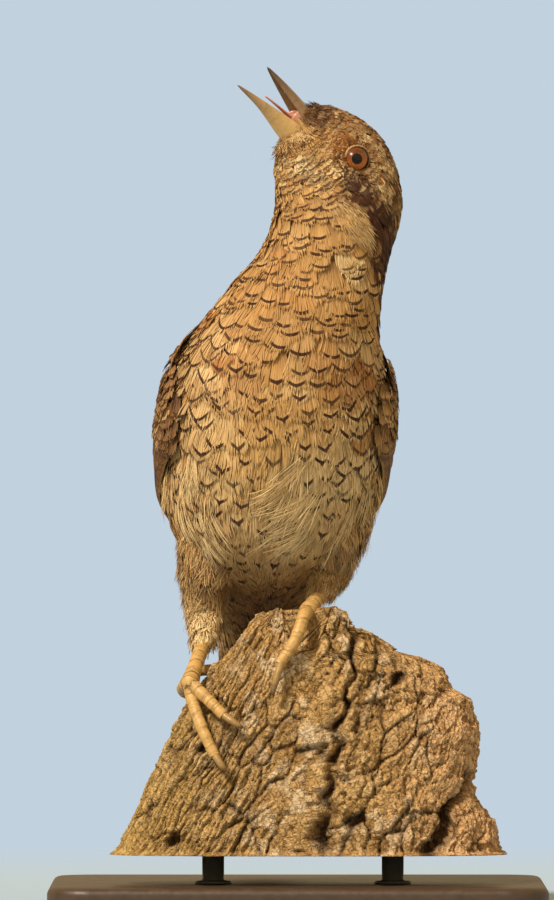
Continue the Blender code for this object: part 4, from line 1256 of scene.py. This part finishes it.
def bark_relief(x, y, z):
    """How deep the bark is carved at points of the trunk, in mm, how dark it is painted, mostly as shade in
    its cracks, clefts and holes, how light its raised flakes are painted, and how crusted it is there.

    Cracked cells of four sizes, all drawn out along the grain, lie over each other: plates that tilt like
    shingles, flakes on them, stringy fibres in the flakes' place on the left, and crumbs over all. Two
    deep clefts and a few holes are cut in on top.
    """
    place = np.stack([x, y, z], axis=-1)
    along = x * math.cos(GRAIN_SLOPE) + z * math.sin(GRAIN_SLOPE)
    across = x * math.sin(GRAIN_SLOPE) - z * math.cos(GRAIN_SLOPE) + 3.0 * clouds(place, 16.0, 3, 2)
    flaky = ease(x + 5 * (clouds(place, 8.0, 5, 2) - 0.5), -15.0, 2.0)
    stringy = 1 - flaky
    shaken = np.stack([clouds(place, 2.6, seed, 2) - 0.5 for seed in (71, 72, 73)], axis=-1)
    spots = np.stack([across, along, y], axis=-1) + 1.1 * shaken
    plate, plate_gap, plate_lean = cells(spots / [4.6, 10.0, 6.0])
    flake, flake_gap, flake_lean = cells(spots / [1.5, 2.3, 1.9])
    fibre, fibre_gap, _ = cells(spots / [1.0, 13.0, 1.7])
    crumb, crumb_gap, _ = cells(spots / [0.62, 0.85, 0.8])
    broken, _, _ = cells(np.stack([x / 5.0, z / 3.4, y / 7.0], axis=-1))
    swell = clouds(place, 8.0, 13, 2)
    plate_crack = np.clip(1 - plate_gap / (0.05 + 0.08 * swell), 0, 1) * ease(swell, 0.35, 0.6)
    flake_crack = np.clip(1 - flake_gap / 0.24, 0, 1) * ease(flake, 0.3, 0.7)
    fibre_crack = np.clip(1 - fibre_gap / 0.34, 0, 1)
    crumb_crack = np.clip(1 - crumb_gap / 0.35, 0, 1)
    depth = 1.0 + (plate - 0.5) * (0.3 + 0.9 * flaky) + 0.8 * plate_crack - 0.35 * plate_lean * flaky
    depth = depth + flaky * ((flake - 0.5) * 0.65 + 0.35 * flake_crack - 0.22 * flake_lean)
    depth = depth + stringy * ((fibre - 0.5) * 0.9 + 0.6 * fibre_crack + (flake - 0.5) * 0.25)
    depth = depth + (crumb - 0.5) * 0.30 + 0.12 * crumb_crack + 1.2 * (swell - 0.5)
    front = (y < perch_outline(z)[1]).astype(float)
    ragged = 2.4 * (clouds(place, 1.9, 83, 3) - 0.5)
    gap, run = near_line(x + 0.6 * np.sin(z * 0.9) + ragged, z, DEEP_GROOVE)
    width = 0.45 + 1.1 * ease(run, 0.35, 1.0) + 0.4 * spot(run - 0.1, 0, 0.1, 1)
    cleft = spot(gap / width, 0, 1, 1) * front * (0.55 + 0.45 * np.sin(run * 21.0) ** 2)
    gap, run = near_line(x + 0.8 * np.sin(z * 0.7) + ragged, z, SIDE_RECESS)
    recess = spot(gap / (0.9 + 0.8 * run), 0, 1, 1) * front
    hole = 0.0
    for hole_x, hole_z, wide, high in HOLES:
        turned = (x - hole_x) * math.cos(0.5) + (z - hole_z) * math.sin(0.5)
        tall = (z - hole_z) * math.cos(0.5) - (x - hole_x) * math.sin(0.5)
        hole = np.maximum(hole, np.exp(-((turned / wide) ** 4) - (tall / high) ** 4) * front)
    depth = depth + 1.6 * broken * ease(x, 8.0, 15.0) * ease(z, 36.0, 43.0)
    depth = depth + 3.6 * cleft + 3.2 * recess + 2.0 * hole
    # dark: painted shade in the cracks between plates, flakes, fibres and crumbs, and in the clefts, the
    # recess and the holes, over a little random tone of the plates
    dark = 0.65 * plate_crack + 0.35 * flaky * flake_crack + 0.40 * stringy * fibre_crack
    dark = dark + 0.22 * crumb_crack + 1.0 * cleft + 0.9 * recess + hole + 0.35 * (plate - 0.6) * flaky
    # paler on the raised flakes and crumbs and away from their cracks: painted light on the high points
    lit_flake_tops = np.clip(1.1 * (0.75 - flake) + 0.5 * (0.5 - crumb) - 0.6 * flake_crack, 0, 1)
    crust = ease(clouds(place, 4.5, 29, 3), 0.50, 0.62) * ease(flake, 0.8, 0.4) * spot(x - 4.0, 0, 26.0, 1)
    return np.clip(depth, 0, 9), np.clip(dark, 0, 1), lit_flake_tops, crust


def make_perch(finish):
    """The trunk: boxy ovals up to the broken top, laced shut there, carved inwards by the bark's relief.

    Most columns lie on the front, where the bark is seen close to.
    """
    rows, columns, in_front, past = 165, 560, 414, 0.12
    turn = np.concatenate([np.linspace(math.pi - past, ROUND + past, in_front, endpoint=False),
                           np.linspace(past, math.pi - past, columns - in_front, endpoint=False)])
    share = np.linspace(0, 1, rows)[:, None]
    height = (PERCH_BOTTOM + (PERCH_TOP - PERCH_BOTTOM) * share) + 0 * turn
    mid_x, mid_y, half_x, half_y = perch_outline(height)
    x = mid_x + half_x * np.sign(np.cos(turn)) * np.abs(np.cos(turn)) ** (2 / BOXINESS)
    y = mid_y + half_y * np.sign(np.sin(turn)) * np.abs(np.sin(turn)) ** (2 / BOXINESS)
    dip = np.exp(-(((x - NOTCH["x"]) / NOTCH["half_width"]) ** 4))
    rise = np.clip((height - NOTCH["from_z"]) / (PERCH_TOP - NOTCH["from_z"]), 0, 1)
    depth, dark, lit_flake_tops, crust = bark_relief(x, y, height)
    inward_x, inward_y = (mid_x - x) / half_x, (mid_y - y) / half_y
    inward_x = inward_x * (1 - np.abs(inward_y) ** 3)
    carve = np.minimum(depth * ease(share, 0.0, 0.02), half_y * 0.55)
    carve = carve / (np.hypot(inward_x, inward_y) + 1e-6)
    x, y = x + inward_x * carve, y + inward_y * carve
    crag, _, _ = cells(np.stack([x / 3.2, y / 9.0, 0 * x + 0.5], axis=-1))
    jag = 2.0 * crag + 0.8 * clouds(np.stack([x, y / 3.0, 0 * x], axis=-1), 0.9, 61, 3)
    height = height - NOTCH["depth"] * dip * rise - jag * ease(share, 0.84, 1.0)
    points = np.stack([x, y, height], axis=-1)
    near, top = np.arange(columns // 2), (rows - 1) * columns
    far = columns - 1 - near
    lace = top + np.stack([near[:-1], near[1:], far[1:], far[:-1]], axis=-1)
    faces = [grid_faces(rows, columns), fan_faces(points[..., 0].size, 0, columns)[:, ::-1], lace]
    layers = {"dark": (dark, 0.5), "lit_flake_tops": (lit_flake_tops, 0.2), "crust": (crust, 0.0)}
    layers = {label: np.append(table, middle).reshape(-1, 1) for label, (table, middle) in layers.items()}
    points = np.vstack([points.reshape(-1, 3), points[0].mean(axis=0)])
    add_piece(joined("perch", [(points, faces, layers)]), finish, ("perch",))


def weathered_bark():
    """Dead, sun-bleached bark: corky flakes over stringy fibre, dull, with painted shade near-black in its
    cracks.

    Gives the eye ochre crumbs with pale lichen crusts, raised flakes lighter as painted light, a yellower
    left and a redder right, both lifted by painted light on the shaded sides, and dark fine cracks of painted
    shade.
    """
    finish, tree, shader = new_finish("weathered_bark", Roughness=0.92, Specular_IOR_Level=0.2)
    where = add(tree, "TexCoord").outputs["Object"]
    dark, lit_flake_tops, crust = (add(tree, "Attribute", attribute_name=name).outputs["Fac"]
                         for name in ("dark", "lit_flake_tops", "crust"))
    lean = add(tree, "Mapping", {"Vector": where, "Rotation": (0.0, math.radians(28.0), 0.0)})
    stretched, drawn = (add(tree, "Mapping", {"Vector": lean, "Scale": (1.0, 1.0, along)})
                        for along in (0.2, 0.45))
    streaks, patches, crumbs, tears = (
        add(tree, "TexNoise", {"Vector": at, "Scale": per_mm(size), "Detail": detail, "Roughness": rough})
        for at, size, detail, rough in ((stretched, 0.6, 6.0, 0.65), (where, 7.0, 5.0, 0.5),
                                        (where, 0.55, 5.0, 0.75), (where, 1.2, 4.0, 0.5)))
    grit = add(tree, "TexVoronoi", {"Vector": where, "Scale": per_mm(0.5)})
    shift = add(tree, "VectorMath", {0: tears.outputs["Color"], 3: 1.1 * MM}, operation="SCALE")
    torn = add(tree, "VectorMath", {0: drawn, 1: shift}, operation="ADD")
    crackle = add(tree, "TexVoronoi", {"Vector": torn, "Scale": per_mm(1.35)}, feature="DISTANCE_TO_EDGE")
    left_to_right = add(tree, "SeparateXYZ", {0: where})
    # the left yellower and the right redder: partly the bark's own colour, partly painted light that lifts
    # the shaded sides to the middle's brightness; the raised flakes paler as painted light
    colour = painted(tree, linear("#AD8750"), (
        (patches, 0.35, 0.65, 0.0, 1.0, "#CDA56C"), (streaks, 0.42, 0.66, 0.0, 0.60, "#825F31"),
        (lit_flake_tops, 0.0, 1.0, 0.0, 0.75, "#D3B07C"), (crust, 0.0, 1.0, 0.0, 0.60, "#DEC7A6"),
        (left_to_right, -0.010, -0.034, 0.0, 0.45, "#BFA25C"),
        (left_to_right, 0.014, 0.038, 0.0, 0.50, "#E0AC7E"),
    ))
    speck = add(tree, "MapRange", {0: crumbs, 1: 0.32, 2: 0.68, 3: 0.70, 4: 1.25})
    colour = add(tree, "HueSaturation", {"Value": speck, "Color": colour})
    # painted shade: darker in the fine cracks, and near-black in the deeper cracks, clefts and holes
    colour = painted(tree, colour, ((crackle, 0.0, 0.09, 0.40, 0.0, "#4E3416"),
                                    (dark, 0.12, 1.0, 0.0, 0.92, "#3A220E")))
    tree.links.new(colour, shader.inputs["Base Color"])
    cracks = add(tree, "MapRange", {0: crackle, 1: 0.0, 2: 0.16, 3: -0.9, 4: 0.0})
    height = add(tree, "Math", {0: streaks, 1: crumbs}, operation="ADD")
    height = add(tree, "Math", {0: cracks, 1: height}, operation="ADD")
    height = add(tree, "Math", {0: grit, 1: -0.8, 2: height}, operation="MULTIPLY_ADD")
    bump = add(tree, "Bump", {"Height": height, "Distance": 0.32 * MM, "Strength": 0.9})
    tree.links.new(bump.outputs["Normal"], shader.inputs["Normal"])
    return finish


# --- legs and claws


def scaled_limb(route, radii, up, scute_mm, strength, rows=96, columns=32):
    """A scaly limb: a sweep whose upper side steps in overlapping scutes and whose sole swells in pads.

    A scute's height runs as its phase, 0 to 1, to a power, and a groove lies between one and the next.
    """
    _, centre, ring, radius = sweep(route, radii, rows, columns, up)
    run = np.concatenate([[0], np.cumsum(np.linalg.norm(np.diff(centre, axis=0), axis=1))])[:, None]
    turn = turns(columns)
    top, sole = ease(np.cos(turn), -0.1, 0.5), ease(np.cos(turn), -0.2, -0.7)
    flank = (1 - top) * (1 - sole)
    uneven = 0.45 * np.sin(run * 0.9) + 0.25 * np.sin(run * 2.3 + 1.0)
    phase = (run / scute_mm + uneven + 0.18 * np.cos(turn + 0.5)) % 1.0
    pads = np.sin(math.pi * run / (scute_mm * 1.3)) ** 2
    net = np.sin(run * 5.2) * np.sin(turn * 11)
    knuckle = 0.06 * np.sin(run * 1.15 + 0.6) ** 2
    step = top * (phase**1.6 - 0.5) + sole * (pads - 0.5) * 0.9 + flank * net * 0.25
    groove = top * (spot(phase, 0, 0.15, 1) + 0.4 * spot(1 - phase, 0, 0.08, 1))
    groove = np.clip(groove + 0.5 * sole * (1 - pads) ** 3 + 0.25 * flank * (net < -0.1), 0, 1)
    swell = radius[:, None] * (1.04 + knuckle + strength * step)
    return shell(centre[:, None] + ring * swell[..., None], tone=1 - 0.85 * groove)


def claw(toe_stops, tip_place):
    """A hooked cone from the toe's end, arched away from the bark and pricking it at its tip."""
    end = np.array(toe_stops[-1])
    ahead = unit(end - np.array(toe_stops[-2]))
    x, z, side = tip_place
    point = np.array([x, float(perch_face(x, z, side)) + side * (GAP + 0.1), z])
    start = end - ahead * 0.7
    out = np.array([0, side, 0.0])
    middle = (start + point) / 2 + out * 0.9 + ahead * 0.8
    late = (middle + point) / 2 + out * 0.25 + ahead * 0.3
    _, centre, ring, radius = sweep([start, middle, late, point], (0.95, 0.80, 0.52, 0.10), 36, 18, out)
    pinch = 1 - 0.16 * np.abs(np.sin(turns(18))) + 0.06 * np.cos(turns(18))
    rings = centre[:, None] + ring * (radius[:, None] * pinch)[..., None]
    return shell(rings, tone=np.linspace(0, 1, 36)[:, None])


def make_legs(skin_finish, claw_finish, legs):
    """Each leg's tarsus, foot and toes united into one scaly piece, and its claws as hooked horn cones."""
    for side_name, form in legs.items():
        cuff, ball = np.array(form["thigh"][-1]), np.array(form["ball"])
        down = unit(ball - cuff)
        route = [cuff - down * 1.5, cuff * 0.6 + ball * 0.4, ball - down * 3.0, ball + down * 0.3]
        limbs = [scaled_limb(route, (1.50, 1.38, 1.50, 1.75), (0.0, -1.0, 0.2), 1.7, 0.09, 110, 36)]
        claws = []
        for number, run in form["toes"].items():
            tip = form["claw_tips"][number]
            stops = [ball + unit(np.array(run[0]) - ball) * 0.2, *run]
            radii = np.linspace(TOE_RADIUS, TOE_RADIUS * 0.74, len(stops))
            radii[1:-1] *= 0.97
            limbs.append(scaled_limb(stops, radii, (0.0, tip[2], 0.25), 1.45, 0.11))
            claws.append(claw(stops, tip))
        rings = sweep([ball + down * 1.7, ball, ball - down * 1.7], (0.7, 1.85, 0.9), 24, 28)[0]
        limbs.append(shell(rings, tone=0.9))
        meshes = [joined(f"limb_{k}", [part]) for k, part in enumerate(limbs)]
        add_piece(united("leg_" + side_name, meshes), skin_finish,
                  ("tarsus_" + side_name, "foot_" + side_name))
        numbers = [f"claw_{side_name}_{k}" for k in form["toes"]]
        add_piece(joined("claws_" + side_name, claws), claw_finish, numbers)


# --- wing and tail feathers


def vanes(sheet, roots, tips, widths, stack, camber=0.35, rows=30, blunt=0.6):
    """Large feathers as thin closed blades on a sheet, from their roots to their tips in (u, v).

    At each step the half width is width x an outline that rises fast and closes round the tip, and the
    feather is raised by its place in the stack plus a camber that falls off with the square of the
    distance from the shaft. The layer keeps its own s across, t along and a random seed.
    """
    roots, tips = np.stack(roots, axis=-1), np.stack(tips, axis=-1)
    count, columns, thin = len(roots), 11, 0.28
    t, s = grid(np.linspace(0, 1, rows), np.linspace(-1, 1, columns))
    outline = np.clip(1 - np.clip((t - blunt) / (1 - blunt), 0, 1) ** 2.6, 0, 1) ** 0.5
    outline = np.maximum(ease(t, -0.15, 0.25) * outline, 0.04)
    shaft = roots[:, None, None] + (tips - roots)[:, None, None] * t[:, :1, None]
    u, v = (np.broadcast_to(shaft[..., k], (count, rows, columns)) for k in (0, 1))
    slope = np.linalg.norm(read(sheet, "across", u, v), axis=-1)
    nick = 1 + 0.05 * RANDOM.normal(size=(count, rows, 1)) * np.abs(s) ** 4 * (t > 0.2)
    half = np.broadcast_to(widths, count)[:, None, None] / 2 * outline
    quill = 0.10 * spot(s, 0, 0.10, 1) * (1 - 0.6 * t)
    lift = stack[:, None, None] * (0.5 + 0.5 * t) + camber * (1 - s**2) * outline + quill
    v = v + half * s * nick / slope
    seed = RANDOM.random(count)
    parts = []
    for k in range(count):
        top, low = (place_on(sheet, u[k], v[k], lift[k] - under)
                    for under in (0.0, thin * (1 - 0.75 * s**2) + 0.03))
        rings = np.concatenate([top, low[:, ::-1]], axis=1)
        across, along = np.concatenate([s, s[:, ::-1]], axis=1), np.concatenate([t, t], axis=1)
        parts.append(shell(rings, vane=np.stack([across, along, 0 * along + seed[k]], axis=-1)))
    return parts


def vane_feather(name, ground, edge, bar, bars_mm, length_mm, spotting):
    """Wing and tail feathers: flat vanes of locked barbs on a dark shaft, satin, with fine slanting lines.

    Gives the eye grey-brown vanes with paler, notched edges, wavy freckles and darker bars.
    """
    finish, tree, shader = new_finish(name, Roughness=0.6, Specular_IOR_Level=0.35)
    where = add(tree, "TexCoord").outputs["Object"]
    local = add(tree, "Attribute", attribute_name="vane").outputs["Vector"]
    s, t, seed = add(tree, "SeparateXYZ", {0: local}).outputs
    side = add(tree, "Math", {0: s}, operation="ABSOLUTE")
    freckle = add(tree, "TexNoise", {"Vector": where, "Scale": per_mm(0.8), "Detail": 4.0, "Distortion": 1.0})
    wave = add(tree, "Math", {0: t, 1: length_mm / bars_mm * ROUND}, operation="MULTIPLY")
    for source, times in ((seed, 6.0), (side, 1.4), (freckle, 3.6)):
        wave = add(tree, "Math", {0: source, 1: times, 2: wave}, operation="MULTIPLY_ADD")
    ripple = add(tree, "Math", {0: wave}, operation="SINE")
    barred = add(tree, "MapRange", {0: ripple, 1: 0.55, 2: 0.95, 3: 0.0, 4: 0.60},
                 interpolation_type="SMOOTHSTEP")
    rim = add(tree, "MapRange", {0: side, 1: 0.70, 2: 0.95, 3: 0.0, 4: 0.8})
    notch = add(tree, "MapRange", {0: ripple, 1: -0.2, 2: 0.5, 3: 1.0, 4: 0.15})
    rim = add(tree, "Math", {0: rim, 1: notch}, operation="MULTIPLY")
    colour = painted(tree, linear(ground), ((freckle, 0.46, 0.60, 0.0, spotting, BROWN), (barred, bar),
                                            (rim, edge), (side, 0.10, 0.05, 0.0, 0.8, INK)))
    # barbs: slanting lines 0.45 mm apart, coarser than the real 0.2 mm so that they show
    slant = add(tree, "Math", {0: side, 1: -0.55, 2: t}, operation="MULTIPLY_ADD")
    comb = add(tree, "Math", {0: slant, 1: length_mm / 0.45 * ROUND}, operation="MULTIPLY")
    comb = add(tree, "Math", {0: comb}, operation="SINE")
    lines = add(tree, "MapRange", {0: comb, 1: -1.0, 2: 1.0, 3: 0.86, 4: 1.08})
    colour = add(tree, "HueSaturation", {"Value": lines, "Color": colour})
    tree.links.new(colour.outputs[0], shader.inputs["Base Color"])
    bump = add(tree, "Bump", {"Height": comb, "Distance": 0.06 * MM, "Strength": 0.7})
    tree.links.new(bump.outputs["Normal"], shader.inputs["Normal"])
    return finish


def wing_sheet(sign):
    """The folded wing's outer face as a sheet: u falls from the shoulder (1) to the tip (0), v runs back."""
    places = np.linspace(WING_PLACES[0], WING_PLACES[-1], 260)
    place, share = grid(places, np.linspace(0.0, 1.0, 60))
    points = wing_surface(sign, place, share, np.full(place.shape, 0.35))
    return lay_sheet(points, body_frame(places)[0][:, None, :], False)


# rows of the wing's coverts: root's place at its front and back, length along the body, width, height, count
COVERT_ROWS = ((6.75, 6.6, 1.75, 4.2, 0.55, 12), (7.0, 6.9, 1.35, 3.8, 0.75, 13),
               (7.3, 7.15, 1.0, 3.4, 0.9, 13))


def make_wings(flight, covert):
    """Each folded wing: primaries, secondaries over them, a bundle along the front edge, and the coverts.

    Along a row, k runs 0 to 1; roots and tips are a place along the body and a share across the wing.
    """
    def u_place(place):
        """The wing sheet's u at a place along the body."""
        return (place - WING_PLACES[0]) / (WING_PLACES[-1] - WING_PLACES[0])

    for sign, side_name in SIDES:
        sheet = wing_sheet(sign)
        k = np.linspace(0, 1, 7)
        parts = vanes(sheet, (u_place(5.4 - 0.4 * k), 0.30 + 0.10 * k),
                      (u_place(1.42 + 1.9 * (1 - k) ** 1.2), 0.12 + 0.30 * k), 5.0, 0.15 + 0.12 * k, 0.25, 44)
        k = np.linspace(0, 1, 9)
        parts += vanes(sheet, (u_place(6.3 - 0.3 * k), 0.20 + 0.66 * k),
                       (u_place(3.5 - 0.45 * k), 0.22 + 0.70 * k), 5.6 + 1.6 * k, 0.30 + 0.6 * k, 0.35, 40)
        bundle = vanes(sheet, (u_place(7.2 - 0.2 * k), 0.02 + 0.27 * k),
                       (u_place(3.9 + 0.9 * k), 0.09 + 0.22 * k), 3.0, 0.30 + 0.35 * k, 0.3, 40)
        add_piece(joined("flight_feathers_" + side_name, parts + bundle[1::2]), flight)
        parts = bundle[::2]
        for first, last, reach, wide, high, number in COVERT_ROWS:
            k = np.linspace(0, 1, number)
            uneven = RANDOM.normal(size=(2, number)) * 0.05
            place = first + (last - first) * k
            shorter = reach * (0.35 + 0.65 * ease(k, 0.0, 0.35))
            parts += vanes(sheet, (u_place(place), 0.04 + 0.86 * k),
                           (u_place(place - shorter + uneven[0]), 0.05 + 0.88 * k + uneven[1] * 0.2),
                           wide * (1 + uneven[1]), high + 0.15 * k, 0.35, 22, 0.45)
        add_piece(joined("wing_coverts_" + side_name, parts), covert)


def make_wing_coat(finish):
    """Small rounded feathers over the wing's shoulder, pale at the tip with a dark line inside it."""
    def pitch(u):
        """The spacing of the feathers at u, closest at the shoulder."""
        return np.interp(u, (0, 0.8, 1), (2.0, 1.9, 1.5))

    for sign, side_name in SIDES:
        sheet = wing_sheet(sign)
        u, v = lattice(sheet, pitch, pitch, 1.02, 0.84, -0.04, 1.0)
        count, row = len(u), pitch(u)
        mottle = clouds(read(sheet, "point", u, v), 3.0, 7)
        cream = 0.05 + 0.30 * (RANDOM.random(count) < 0.22)
        tones = np.stack([0.45 + 0.4 * ease(mottle, 0.4, 0.7), 0.30 - 0.2 * mottle,
                          0.32 + 0.4 * ease(mottle, 0.48, 0.7), cream], axis=-1)
        tufts = plain_tufts(
            u, v, RANDOM.normal(size=count) * 0.10, row * 2.7, row * 1.5, tones, low=0.2,
            high=1.1 + 0.3 * RANDOM.random(count), round=0.45, fray=0.04, loose=0.04,
            bend=RANDOM.normal(size=count) * 0.04, camber=0.05, apex=row * 0.30, reach=0.9, thick=0.24,
            stem=1.5 * RANDOM.random(count), ink=0.8 * (RANDOM.random(count) < 0.8))
        coat_pieces("coat_wing_" + side_name, sheet, [tufts], 20, finish)


def make_tail(finish):
    """Ten stiff feathers, the middle pair on top and longest, each outer one shorter and lower.

    They lie on the tail's upper face: its middle line bowed up by (1 - across squared).
    """
    centre, left, front, side, back, _ = body_frame(np.linspace(0.0, 2.6, 120))
    across = np.linspace(-1, 1, 41)
    points = centre[:, None] + left[:, None] * (side[:, None] * across)[..., None]
    points = points - front[:, None] * (back[:, None] * 0.8 * (1 - across**2))[..., None]
    sheet = lay_sheet(points, (centre + front * 30)[:, None, :], False)
    order = np.array([-5, 5, -4, 4, -3, 3, -2, 2, -1, 1])
    step, side = np.abs(order) - 1, np.sign(order)
    roots = (np.full(10, 0.90), 0.5 + side * (0.03 + 0.035 * step))
    tips = (0.012 + 0.022 * step + 0.012 * step**2 * (step > 2), 0.5 + side * (0.085 + 0.082 * step))
    parts = vanes(sheet, roots, tips, 6.6, 0.30 - 0.14 * step, 0.28, 54, 0.80)
    add_piece(joined("tail_feathers", parts), finish, ("tail",))


# --- stand and stage


def make_stand(board, steel):
    """The base board: a rounded rectangle carried up a bevelled edge; the rods: turned pins with a collar."""
    corner = 9.0
    level, inset = np.transpose(((0.0, 0.5), (0.12, 0.15), (0.5, 0.0), (3.6, 0.0), (4.1, 0.12), (4.55, 0.42),
                                 (4.85, 0.9), (5.0, 1.5)))[..., None]
    x, y = (np.sign(wave) * (half - corner) * ease(np.abs(wave), 0.0, 0.02) + (corner - inset) * wave
            for wave, half in ((np.cos(turns(160)), 50.0), (np.sin(turns(160)), 42.0)))
    part = shell(np.stack([x, y, level + 0 * x], axis=-1), tone=0.5)
    add_piece(joined("base_board", [part]), board, ("stand_base",))
    radius, level = np.transpose(((2.2, 5.0), (3.6, 5.05), (3.8, 5.25), (3.6, 5.6), (2.4, 5.75), (2.2, 5.95),
                                  (2.2, 12.5)))[..., None]
    x, y = radius * np.cos(turns(40)), radius * np.sin(turns(40))
    parts = [shell(np.stack([middle + x, y - 15.0, level + 0 * x], axis=-1), tone=0.5)
             for middle in (-17.0, 19.0)]
    add_piece(joined("stand_rods", parts), steel, ("stand_rod_left", "stand_rod_right"))


def make_floor():
    """A pale, matt paper floor: two rings round a middle point, fading out with distance."""
    finish, tree, shader = new_finish("matt_floor_paper", Base_Color=linear("#9CB2C8"), Roughness=0.9)
    where = add(tree, "TexCoord").outputs["Object"]
    away = add(tree, "VectorMath", {0: where}, operation="LENGTH").outputs["Value"]
    fade = add(tree, "MapRange", {0: away, 1: 0.12, 2: 0.42, 3: 1.0, 4: 0.0}, interpolation_type="SMOOTHSTEP")
    tree.links.new(fade.outputs[0], shader.inputs["Alpha"])
    radius, turn = grid((60.0, 440.0), turns(96))
    rings = np.stack([radius * np.cos(turn), radius * np.sin(turn), 0 * turn - 0.02], axis=-1)
    points = np.vstack([rings.reshape(-1, 3), (0.0, 0.0, -0.02)])
    mesh = make_mesh("floor", points, [grid_faces(2, 96)[:, ::-1], fan_faces(192, 0, 96)])
    mesh.materials.append(finish)
    floor = add_object("floor", mesh)


def make_sky():
    """A plain pale blue sky, which lights the bird with the warmer mean of sky and dry ground."""
    world = bpy.data.worlds.new("pale_sky")
    bpy.context.scene.world = world
    world.use_nodes = True
    tree = world.node_tree
    seen = add(tree, "LightPath").outputs["Is Camera Ray"]
    colour = painted(tree, linear("#D0BA90"), [(seen, "#C2D1DE")])
    tree.links.new(colour, tree.nodes["Background"].inputs["Color"])


def make_lamp(name, energy, hexa, turn, spread):
    """A sun of that strength and colour, turned by three angles and as soft as its spread, in degrees."""
    light = bpy.data.lights.new(name, "SUN")
    light.energy = energy
    light.color = linear(hexa)[:3]
    light.angle = math.radians(spread)
    add_object(name, light).rotation_euler = [math.radians(part) for part in turn]


def make_camera():
    """A long lens level with the breast, whose frame is 0.180 m high at the bird."""
    view = bpy.data.cameras.new("camera")
    view.sensor_width = 36.0
    distance, tall = 2.5, 0.180
    view.lens = 36.0 * distance / tall
    view.clip_start, view.clip_end = 0.1, 50.0
    camera = add_object("camera", view)
    camera.location = (-0.0042, -0.0215 - distance, 0.092)
    camera.rotation_euler = (math.pi / 2, 0.0, 0.0)
    bpy.context.scene.camera = camera
    bpy.context.scene.view_settings.view_transform = "Standard"


# --- making

make_floor()
make_sky()
make_lamp("warm_key", 4.4, "#FFF4E4", (45.0, 0.0, -40.0), 10.0)
make_lamp("soft_fill", 0.25, "#FFEBD0", (70.0, 0.0, 35.0), 60.0)
make_camera()
feather = barbed_feather()
legs = leg_routes()
make_skin(feather, legs)
make_body_coat(feather)
make_thigh_coat(feather, legs)
make_eyes(eye_gloss())
# bare lid skin, dry and finely wrinkled: a dull ring, dark at its inner edge and buff outside
make_lids(toned("bare_lid_skin", "#3E2C18", "#B08C54", 0.6, 0.5, 0.5))
# bill horn, worn smooth: satin, from brown at its root to near-black brown at its tip
horn = toned("bill_horn_brown", "#8A6E50", "#4A3524", 0.38, 1.2, 0.25, coat=0.15)
# thinner, unpigmented horn: the same satin in straw colour, browner at its tip
pale_horn = toned("bill_horn_pale", "#C3A066", "#7A6244", 0.40, 1.2, 0.25, coat=0.15)
half_bill("bill_upper", UPPER_BILL, 1, horn)
half_bill("bill_lower", LOWER_BILL, -1, pale_horn)
# moist skin: pink under a wet coat, with small bright highlights; in the mouth darker deep inside the cup, as
# painted shade
make_tongue(toned("moist_tongue", "#B4665A", "#D08E7C", 0.3, 0.8, 0.3, coat=0.5))
make_mouth(toned("mouth_skin", "#7E3F38", "#C08A72", 0.4, 0.7, 0.3, coat=0.4))
# scaly skin and claw horn: dull buff scutes with dark lines between, and satin claws dark at the tip
make_legs(toned("scaly_leg_skin", "#4E3516", "#BF9757", 0.5, 0.7, 0.5),
          toned("claw_horn", "#A4824C", "#432A16", 0.32, 1.0, 0.25, coat=0.35), legs)
flight = vane_feather("flight_vane_brown", "#684018", "#C4924E", "#341A08", 9.0, 34.0, 0.5)
covert = vane_feather("covert_vane_mottled", "#86592A", "#C99E5A", "#42230C", 6.0, 12.0, 0.75)
make_wings(flight, covert)
make_wing_coat(feather)
make_tail(vane_feather("tail_vane_grey", "#A2907A", "#B9A587", "#3B2614", 9.5, 42.0, 0.55))
make_perch(weathered_bark())
# oiled dark wood with a faint mottle, and steel brushed to a soft dark sheen, both plain and quiet
make_stand(toned("dark_oiled_board", "#2E2018", "#4A3626", 0.45, 2.0, 0.2),
           toned("brushed_steel", "#3A3A3A", "#4C4A47", 0.35, 1.0, 0.1))
